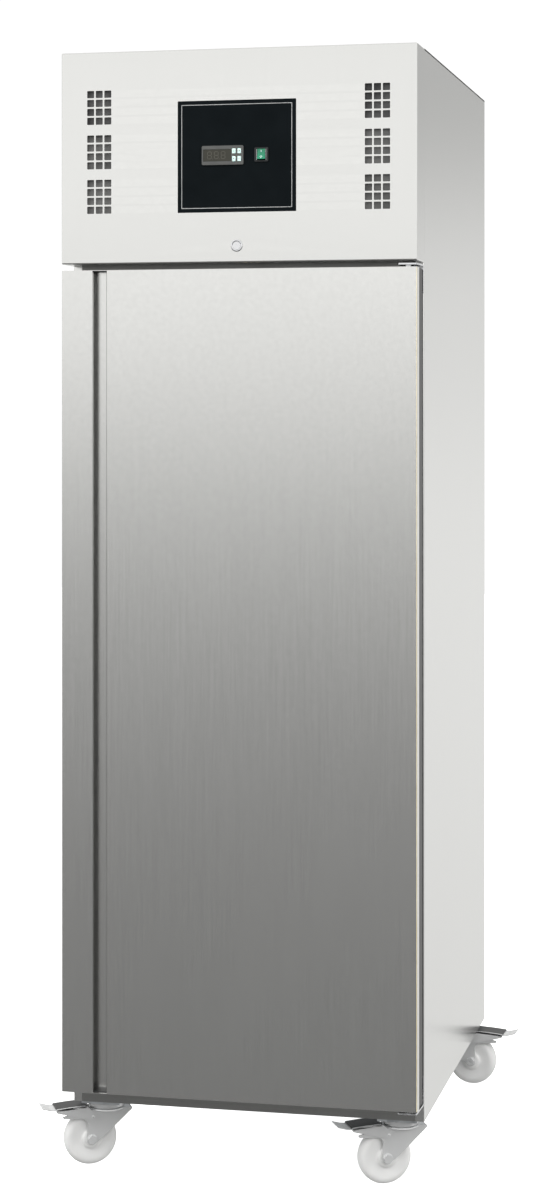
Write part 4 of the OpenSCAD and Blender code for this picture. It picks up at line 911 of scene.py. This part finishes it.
def castor_place(name):
    """Frame of a castor: swivel axis at the origin, a along the trail, b sideways, c up from the floor."""
    swivel = joint_mm("castor_swivel_" + name)
    axle = joint_mm("wheel_spin_" + name)
    along = Vector((axle.x - swivel.x, axle.y - swivel.y, 0)).normalized()
    side = Vector((-along.y, along.x, 0))
    place = place_axes((swivel.x, swivel.y, 0), along, side, (0, 0, 1))
    trail = (Vector((axle.x, axle.y)) - Vector((swivel.x, swivel.y))).length
    return place, trail, axle.z


def across(place, height=0.0):
    """Turns a castor frame so that local a, b lie in the leg's plane and c goes sideways."""
    return place @ place_axes((0, height, 0), (1, 0, 0), (0, 0, 1), (0, 1, 0))


def castor_wheel(name):
    place, trail, axle_z = castor_place(name)
    radius = axle_z
    shape = Shape()
    profile = [(6.1, -18.2), (13.5, -18.2), (16.0, -17.6), (17.0, -16.2), (18.5, -14.6), (21.5, -14.0), (29.0, -14.2),
               (35.5, -15.4), (40.5, -15.2), (44.6, -13.6), (47.3, -10.6), (48.7, -6.4), (radius, -2.5)]
    profile = profile + [(r, -h) for r, h in reversed(profile)]
    profile.append(profile[0])
    turned(shape, profile, shifted(across(place), trail, axle_z, 0), 72)
    make_piece("wheel_tyre_" + name, shape, NYLON, "wheel_" + name, ["castor_wheel_" + name], smooth=50)


def castor_fork(name):
    """Pressed fork: two legs with a horn, a round crown, a sloping front wall, rivets and the axle bolt."""
    place, trail, axle_z = castor_place(name)
    leg_in, leg_t, crown_r, crown_z = 18.5, 3.0, 34.0, 2 * axle_z + CROWN_RISE
    shape = Shape()
    corners = [(trail + 9.5, axle_z - 1), (trail + 8, axle_z + 31), (trail + 14, axle_z + 37.5),
               (trail + 53, axle_z + 41), (trail + 55, axle_z + 45), (trail - 7, crown_z + 3.3),
               (-crown_r - 8, crown_z + 3.3), (-crown_r - 9.5, crown_z), (trail - 22, axle_z + 4),
               (trail - 9, axle_z - 5), (trail, axle_z - 10), (trail + 7.5, axle_z - 7.5)]
    start = (trail + 9, axle_z + 10)
    outline = flat_bends([start] + corners[1:] + [corners[0], start], [7, 9, 2, 3, 10, 3, 5, 14, 7, 7, 7, 7], 5)[:-1]
    rivet = (trail - RIVET_BACK, crown_z - RIVET_DROP)
    for side in (-1, 1):
        start = leg_in if side > 0 else -leg_in - leg_t
        plate(shape, outline, [round_hole(trail, axle_z, 6.1, 24),
                               round_hole(rivet[0], rivet[1], 3.0, 20)], leg_t, across(place), start)
    turned(shape, [(6.2, crown_z), (26, crown_z), (crown_r - 1, crown_z + 0.1), (crown_r, crown_z + 1.2),
                   (crown_r - 0.3, crown_z + 3.0), (crown_r - 2, crown_z + 3.5), (20, crown_z + 3.5),
                   (6.2, crown_z + 3.5), (6.2, crown_z)], place, 64)
    plate(shape, [(-crown_r - 6, -leg_in - 0.5), (trail - 8, -leg_in - 0.5), (trail - 8, leg_in + 0.5),
                  (-crown_r - 6, leg_in + 0.5)], [], 3.2, shifted(place, 0, 0, crown_z + 0.1))
    reach = axle_z + 4.0
    end = (trail + reach * math.cos(math.radians(143)), axle_z + reach * math.sin(math.radians(143)))
    wall = [(-crown_r - 8.5, crown_z + 2.2), (-crown_r - 6.5, crown_z - 3), end]
    folded(shape, flat_bends(wall, [4], 5), [0.01] * 20, 2.2, 2 * leg_in + 1.0,
           shifted(across(place), 0, 0, -leg_in - 0.5), 1)
    make_piece("fork_pressing_" + name, shape, CASTOR_ZINC, "fork_" + name, ["castor_fork_" + name],
               bevel=0.55, smooth=45)
    bolt = Shape()
    here = shifted(across(place), trail, axle_z, 0)
    turned(bolt, [(0, -22.5), (6.0, -22.5), (6.0, 22.5), (0, 22.5)], here, 32)
    for side in (-1, 1):
        start = 21.7 * side
        washer = start + side * 1.5
        turned(bolt, [(0, start), (9.6, start), (9.6, start + side), (8.6, washer), (0, washer)], here, 32)
        head = circle_points(0, 0, 8.6, 6, math.radians(15))
        plate(bolt, head, [round_hole(0, 0, 3.4, 20)] if side < 0 else [], side * 4.2,
              shifted(here, 0, 0, start + side * 1.4))
        turned(bolt, [(0, washer), (3.2, washer), (3.2, start + side * 3.0), (0, start + side * 3.0)], here, 20)
    for side in (-1, 1):
        turned(bolt, [(0, side * 19), (2.9, side * 19), (2.9, side * 21.4), (0, side * 21.4)],
               shifted(across(place), rivet[0], rivet[1], 0), 20)
    make_piece("axle_bolt_" + name, bolt, CASTOR_ZINC, "fork_" + name, ["castor_fork_" + name],
               bevel=0.3)


def castor_pedal(name):
    """Black tread pedal with ribs, side cheeks on the rivets and a steel lip that curls up."""
    place, trail, axle_z = castor_place(name)
    rivet_x, rivet_z = trail - RIVET_BACK, 2 * axle_z + CROWN_RISE - RIVET_DROP
    pad_z, half, arm = rivet_z + 15, 21.8, 2.5
    cheek = Shape()
    corners = [(rivet_x - 6, rivet_z), (rivet_x - 4, rivet_z - 5), (rivet_x + 5, rivet_z - 5.8),
               (trail + 66, rivet_z + 10), (trail + 67, pad_z + 2), (trail + 40, pad_z + 4.2),
               (trail + 12, pad_z + 5.4),
               (rivet_x - 4, rivet_z + 6), (rivet_x - 6, rivet_z)]
    outline = flat_bends(corners, [4, 3, 3, 2, 2, 3, 3], 4)[:-1]
    for side in (-1, 1):
        start = half if side > 0 else -half - arm
        plate(cheek, outline, [round_hole(rivet_x, rivet_z, 2.2, 16)], arm, across(place), start)
        turned(cheek, [(0, side * 21.5), (2.8, side * 21.5), (2.8, side * 24.2), (1.5, side * 25.0), (0, side * 25.0)],
               shifted(across(place), rivet_x, rivet_z, 0), 20)
    make_piece("pedal_cheeks_" + name, cheek, CASTOR_ZINC, "pedal_" + name, ["brake_pedal_" + name],
               bevel=0.4, smooth=45)
    tread = Shape()
    span = 2 * (half + arm)
    side_place = shifted(across(place), 0, 0, -half - arm)
    line = [(trail + 10.5, pad_z + 3.2), (trail + 38, pad_z + 1.8), (trail + 66, pad_z - 0.6)]
    folded(tread, line, [60], 4.4, span, side_place, 6)
    for k in range(8):
        u = trail + 15 + k * 6.4
        z = pad_z + 5.0 - (u - trail - 10) * 0.068
        path = [Vector((u, v, z)) for v in (-half + 1.0, half - 1.0)]
        tube(tread, path, 0.9, 8, place)
    make_piece("pedal_tread_" + name, tread, BLACK_PLASTIC, "pedal_" + name,
               ["brake_pedal_" + name], bevel=0.5, smooth=50)
    lip = Shape()
    line = [(trail + 60, pad_z - 1.6), (trail + 76, pad_z - 0.2), (trail + 92.2, pad_z + 4.2)]
    folded(lip, line, [30], 1.8, span - 6, shifted(across(place), 0, 0, -half - arm + 3), 6)
    make_piece("pedal_lip_" + name, lip, CASTOR_ZINC, "pedal_" + name, ["brake_pedal_" + name],
               bevel=0.4, smooth=50)


def castor_heads():
    """Swivel heads: top plate, dished race with a rolled rim and dust ring, king pin nut."""
    shape = Shape()
    for name in CASTORS:
        place, _, axle_z = castor_place(name)
        crown_z = 2 * axle_z + CROWN_RISE
        top = box_mm("base_pan")[0].z - 0.1
        race = crown_z + 3.8
        turned(shape, [(24, race), (30.4, race), (31.6, race + 0.8), (32.4, race + 2.4), (33.4, race + 3.6),
                       (34.0, top - 3.2), (34.0, top - 0.6), (33.2, top), (0, top), (0, top - 2),
                       (24, top - 3.5), (24, race)], place, 64)
        turned(shape, [(0, crown_z - 6.2), (9.2, crown_z - 6.2), (10.0, crown_z - 5.4), (10.0, crown_z - 0.3),
                       (6.0, crown_z - 0.3), (6.0, top + 18), (0, top + 18)], place, 40)
    make_piece("castor_swivel_heads", shape, CASTOR_ZINC, "cabinet", ["castor_heads"], smooth=40)


# ------------------------------------------------------------------ food space
def inner_liner():
    """Welded tub with coved corners, open to the front."""
    low, high = box_mm("inner_liner")
    shape = Shape()

    def ring(grow, y, radius):
        return [(a, y, b) for a, b in rounded_rect(low.x - grow, high.x + grow, low.z - grow, high.z + grow, radius, 8)]

    cove = 14.0
    loops = [ring(0, low.y, 1.0), ring(-SHEET, low.y, 1.0), ring(-SHEET, low.y + 6, cove)]
    for k in range(7):
        turn = math.radians(90 * k / 6)
        loops.append(ring(-SHEET - cove * (1 - math.cos(turn)), high.y - SHEET - cove * (1 - math.sin(turn)), cove))
    loft(shape, loops, caps=False)
    shape.faces.append(tuple(len(shape.points) - len(loops[0]) + k for k in range(len(loops[0]))))
    outer = [ring(0, low.y, 1.0), ring(0, high.y, 1.0)]
    start = len(shape.points)
    loft(shape, outer, caps=False)
    shape.faces.append(tuple(start + len(outer[0]) + k for k in range(len(outer[0]))))
    make_piece("liner_tub", shape, STEEL_INNER, "cabinet", ["inner_liner"], smooth=40)


RUNNER_LEG, RUNNER_T = 18, 1.2


def shelf_step():
    """Height from one shelf to the next."""
    low, high = box_mm("shelf_runners")
    return (high.z - RUNNER_LEG - (low.z + RUNNER_T)) / 2


def wire_shelves():
    """Chromed grids: a bent rim rod, a middle bar and round cross wires with a small front return."""
    low, high = box_mm("wire_shelves")
    runner_low = box_mm("shelf_runners")[0]
    step = shelf_step()
    rim, wire = 3.5, 1.8
    for k in range(3):
        shape = Shape()
        zc = runner_low.z + RUNNER_T + k * step + rim + 0.1
        x, y0, y1 = high.x - rim, low.y + rim, high.y - rim
        loop = [(a, b, zc) for a, b in rounded_rect(-x, x, y0, y1, 12, 6)]
        tube(shape, loop, rim, 14, closed=True)
        tube(shape, [(-x, (y0 + y1) / 2, zc), (x, (y0 + y1) / 2, zc)], rim - 0.4, 12)
        for j in range(21):
            a = -x + (j + 1) * 2 * x / 22
            over = zc + rim + wire - 0.4
            path = bend_points([(a, y0 - 1.4, zc + 0.5), (a, y0 + 2, over), (a, y1 - 2, over), (a, y1 + 1.4, zc + 0.5)],
                               [3, 3], 4)
            tube(shape, path, wire, 10)
        make_piece("wire_shelf_%d" % (k + 1), shape, CHROME_WIRE, "cabinet", ["wire_shelves"], smooth=60)


def shelf_carriers():
    """Slotted uprights and the angle runners that hook into them."""
    low, high = box_mm("shelf_uprights")
    depth, width = 11.0, 24.0
    slots = int((high.z - (low.z - 21) - 80) // 60)
    shape = Shape()
    for side in (-1, 1):
        for y in (low.y + width / 2, high.y - width / 2):
            x0 = side * (high.x - depth)
            place = place_axes((x0, y, 0), (0, 1, 0), (0, 0, 1), (side, 0, 0))
            holes = [rect_hole(-6, 6, low.z + 39 + k * 60, low.z + 47 + k * 60, 2) for k in range(slots)]
            plate(shape, rounded_rect(-width / 2 + 1, width / 2 - 1, low.z, high.z, 1), holes, 1.2, place)
            for edge in (-1, 1):
                a0, a1 = sorted((edge * (width / 2 - 1.4), edge * width / 2))
                block(shape, (a0, low.z, 0.2), (a1, high.z, depth), 0.5, place, 2)
    make_piece("slotted_uprights", shape, STEEL_INNER, "cabinet", ["shelf_uprights"], bevel=0.3)
    low, high = box_mm("shelf_runners")
    step = shelf_step()
    shape = Shape()
    for side in (-1, 1):
        for k in range(3):
            z = low.z + 0.6 + k * step
            path = [(side * (250.5), z), (side * (high.x - 0.6), z), (side * (high.x - 0.6), z + 18.5)]
            folded(shape, path, [1.6], RUNNER_T, high.y - low.y, place_axes((0, low.y, 0), (1, 0, 0), (0, 0, 1), (0, 1, 0)))
    make_piece("angle_runners", shape, STEEL_INNER, "cabinet", ["shelf_runners"], smooth=40)


def evaporator():
    """Cooler housing with a round fan opening and its wire guard."""
    low, high = box_mm("evaporator_housing")
    fan = joint_mm("evaporator_fan_spin")
    shape = Shape()
    hole = round_hole(fan.x, fan.z, 62, 64)
    pan(shape, low.x, high.x, low.z, high.z, high.y - low.y, 1.5, 2.5, [hole], facing_front(low.y), corner=2.5)
    make_piece("cooler_housing", shape, STEEL_INNER, "cabinet", ["evaporator_housing"], smooth=35)
    guard = Shape()
    for radius in (12, 22, 32, 42, 52, 62):
        tube(guard, [(fan.x + radius * math.cos(2 * math.pi * k / 48), low.y - 1.4,
                      fan.z + radius * math.sin(2 * math.pi * k / 48)) for k in range(48)], 1.0, 8, closed=True)
    for k in range(6):
        turn = math.pi * k / 3 + 0.3
        tube(guard, [(fan.x + 8 * math.cos(turn), low.y - 2.9, fan.z + 8 * math.sin(turn)),
                     (fan.x + 67 * math.cos(turn), low.y - 2.9, fan.z + 67 * math.sin(turn))], 1.2, 8)
    make_piece("cooler_fan_guard", guard, CHROME_WIRE, "cabinet")


BLADE_T = 1.3


def fan_blades(node, body, name, blades, hub):
    """Pressed fan: domed hub and twisted, cambered blades."""
    low, high = box_mm(node)
    centre = (low + high) / 2
    radius, depth = (high.x - low.x) / 2, high.y - low.y
    place = place_axes((centre.x, low.y, centre.z), (1, 0, 0), (0, 0, 1), (0, 1, 0))
    shape = Shape()
    turned(shape, [(4.1, 1.0), (hub * 0.6, 0.2), (hub - 2, 1.4), (hub, 4.0), (hub, depth - 0.5), (4.1, depth - 0.5),
                   (4.1, 1.0)], place, 40)
    for k in range(blades):
        spin = 2 * math.pi * k / blades
        rings = []
        for step in range(9):
            r = hub - 1.5 + (radius - hub + 1.0) * step / 8
            wide = (0.36 + 0.22 * math.sin(math.pi * step / 9)) * (1.1 - 0.25 * step / 8)
            pitch = 0.42 - 0.14 * step / 8
            ring = []
            for lift, order in ((0.0, range(13)), (BLADE_T, reversed(range(13)))):
                for j in order:
                    share = -1 + j / 6
                    turn = spin + share * wide
                    camber = 1.6 * (1 - share * share)
                    ring.append((r * math.cos(turn), r * math.sin(turn),
                                 depth / 2 + share * depth * pitch - camber + lift))
            rings.append(ring)
        loft(shape, rings, place)
    make_piece(name, shape, BLACK_PLASTIC, body, [node], smooth=45)


# ------------------------------------------------------------------ machine compartment
def compressor():
    """Hermetic pot with a weld seam, base plate and terminal cover."""
    low, high = box_mm("compressor")
    grommet_low, grommet_high = box_mm("compressor_grommets")
    centre = Vector(((grommet_low.x + grommet_high.x) / 2, (grommet_low.y + grommet_high.y) / 2))
    base = low.z
    place = upright(centre.x, centre.y, 0)
    shape = Shape()
    profile = [(0, base + 6), (40, base + 6), (60, base + 12), (69.5, base + 24), (71.2, base + 40), (71.2, base + 70),
               (72, base + 71), (72, base + 75), (71.2, base + 76), (71.2, high.z - 40), (68, high.z - 24),
               (58, high.z - 11), (40, high.z - 3), (18, high.z - 0.3), (0, high.z)]
    turned(shape, profile, place, 64)
    half = (grommet_high.x - grommet_low.x) / 2 - 12
    plate(shape, rounded_rect(-half - 15, half + 15, -half - 15, half + 15, 14, 6),
          [round_hole(sx * half, sy * half, 5.2, 20) for sx in (-1, 1) for sy in (-1, 1)], 3.0,
          shifted(place, 0, 0, base))
    block(shape, (-26, -72 - 23, base + 36), (26, -60, base + 91), 4, place)
    make_piece("compressor_pot", shape, ENAMEL, "cabinet", ["compressor"], smooth=40)


# ------------------------------------------------------------------ carried-over nodes
CARRIED = {
    "back_panel": GALVANISED, "base_pan": GALVANISED, "ceiling_deck": GALVANISED,
    # front_frame takes the darker steel, which is painted shade for the gaps round the door.
    "cabinet_foam": FOAM, "front_frame": GAP_SHADE_STEEL, "cable_gland": BLACK_PLASTIC,
    "cabinet_screws": ZINC, "evaporator_coil": FINS, "evaporator_fan_motor": ENAMEL,
    "drain_pipe": GREY_PLASTIC, "unit_tray": GALVANISED, "compressor_grommets": RUBBER,
    "condenser_coil": FINS, "condenser_fan_frame": GALVANISED, "refrigerant_pipes": COPPER,
    "electrical_box": GREY_PLASTIC, "door_foam": FOAM, "door_edge_frame": BLACK_PLASTIC,
    "hinge_bushes": NYLON,
}


def finish_carried_nodes():
    for node, material in CARRIED.items():
        mesh = frame["nodes"][node].data
        if not mesh.materials:
            mesh.materials.append(material)
        for slot in range(len(mesh.materials)):
            mesh.materials[slot] = material


# ------------------------------------------------------------------ studio
def studio_world():
    """Plain studio: pale all round, bright above the horizon in front and darker below it."""
    world = bpy.data.worlds.new("studio")
    bpy.context.scene.world = world
    world.use_nodes = True
    tree = world.node_tree
    tree.nodes.clear()
    split = add_node(tree, "SeparateXYZ")
    link(tree, add_node(tree, "TexCoord").outputs["Generated"], split.inputs[0])

    def ramp(stops):
        span = add_node(tree, "MapRange", From_Min=-0.5, From_Max=0.5)
        link(tree, split.outputs["Z"], span.inputs["Value"])
        node = add_node(tree, "ValToRGB")
        node.color_ramp.interpolation = "EASE"
        elements = node.color_ramp.elements
        while len(elements) < len(stops):
            elements.new(0.5)
        for element, (height, value) in zip(elements, stops):
            element.position = height + 0.5
            element.color = (value, value, value * 0.985, 1)
        link(tree, span.outputs["Result"], node.inputs["Fac"])
        return node.outputs["Color"]

    front = ramp([(-0.30, 0.18), (-0.14, 0.235), (-0.04, 0.39), (0.050, 1.42), (0.11, 1.13), (0.30, 0.98)])
    rear = ramp([(-0.30, 0.80), (-0.05, 0.88), (0.04, 0.80), (0.13, 0.50), (0.40, 0.95)])
    side = add_node(tree, "MapRange", From_Min=-0.3, From_Max=0.3)
    side.interpolation_type = "SMOOTHSTEP"
    link(tree, split.outputs["Y"], side.inputs["Value"])
    mix = add_node(tree, "Mix")
    mix.data_type = "RGBA"
    link(tree, side.outputs["Result"], mix.inputs["Factor"])
    colours = [socket for socket in mix.inputs if socket.type == "RGBA"]
    link(tree, front, colours[0])
    link(tree, rear, colours[1])
    lit = add_node(tree, "Background")
    link(tree, [socket for socket in mix.outputs if socket.type == "RGBA"][0], lit.inputs["Color"])
    white = add_node(tree, "Background", Color=(1, 1, 1, 1), Strength=1.05)
    path = add_node(tree, "LightPath")
    pick = add_node(tree, "MixShader")
    link(tree, path.outputs["Is Camera Ray"], pick.inputs["Fac"])
    link(tree, lit.outputs[0], pick.inputs[1])
    link(tree, white.outputs[0], pick.inputs[2])
    out = add_node(tree, "OutputWorld")
    link(tree, pick.outputs[0], out.inputs["Surface"])


def area_light(name, place, aim, size, power):
    lamp = bpy.data.lights.new(name, "AREA")
    lamp.shape = "RECTANGLE"
    lamp.size, lamp.size_y = size
    lamp.energy = power
    lamp.specular_factor = 0.0
    holder = bpy.data.objects.new(name, lamp)
    holder.location = place
    holder.rotation_euler = (Vector(aim) - Vector(place)).to_track_quat("-Z", "Y").to_euler()
    holder.visible_glossy = False
    bpy.context.scene.collection.objects.link(holder)


def studio_floor():
    mesh = bpy.data.meshes.new("studio_floor")
    work = bmesh.new()
    bmesh.ops.create_grid(work, x_segments=1, y_segments=1, size=14)
    work.to_mesh(mesh)
    work.free()
    floor = bpy.data.objects.new("studio_floor", mesh)
    bpy.context.scene.collection.objects.link(floor)
    material, tree, shader = start_material("pale_floor", Roughness=0.9)
    shader.inputs["Specular IOR Level"].default_value = 0.0
    grain = use_group(tree, MOULDED_GRAIN, Fineness=60.0)
    link(tree, mix_colours(tree, grain.outputs["Pimples"], (0.93, 0.93, 0.93), (0.95, 0.95, 0.95)),
         shader.inputs["Base Color"])
    shader.inputs["Emission Color"].default_value = (1, 1, 1, 1)
    shader.inputs["Emission Strength"].default_value = 1.0
    mesh.materials.append(material)
    floor.visible_glossy = False
    floor.visible_diffuse = False


def camera():
    lens = bpy.data.cameras.new("view")
    lens.sensor_width = 36
    lens.lens = 75.05
    lens.shift_x, lens.shift_y = -0.0228, -0.158
    holder = bpy.data.objects.new("view", lens)
    holder.location = (1.0446, -4.7431, 1.3862)
    holder.rotation_euler = (math.radians(90), 0, math.radians(12.278))
    bpy.context.scene.collection.objects.link(holder)
    bpy.context.scene.camera = holder


camera()
studio_world()
studio_floor()
area_light("overhead_softbox", (-0.4, -1.4, 4.2), (0, 0, 0.0), (6.0, 6.0), 190)
area_light("left_softbox", (-3.2, -2.6, 1.8), (0, 0, 0.8), (2.0, 2.4), 50)
area_light("right_softbox", (3.4, -2.2, 2.0), (0, 0, 0.6), (2.4, 2.4), 50)
bpy.context.scene.view_settings.view_transform = "Standard"

door_skin()
door_gasket()
door_liner()
hinge_brackets()
fascia()
side_panels()
top_cover()
rear_grille()
control_plate()
controller()
rocker_switch()
lock()
for castor in CASTORS:
    castor_wheel(castor)
    castor_fork(castor)
    castor_pedal(castor)
castor_heads()
inner_liner()
wire_shelves()
shelf_carriers()
evaporator()
fan_blades("evaporator_fan_blade", "evaporator_fan", "cooler_fan", 5, 16)
fan_blades("condenser_fan_blade", "condenser_fan", "unit_fan", 5, 28)
compressor()
finish_carried_nodes()
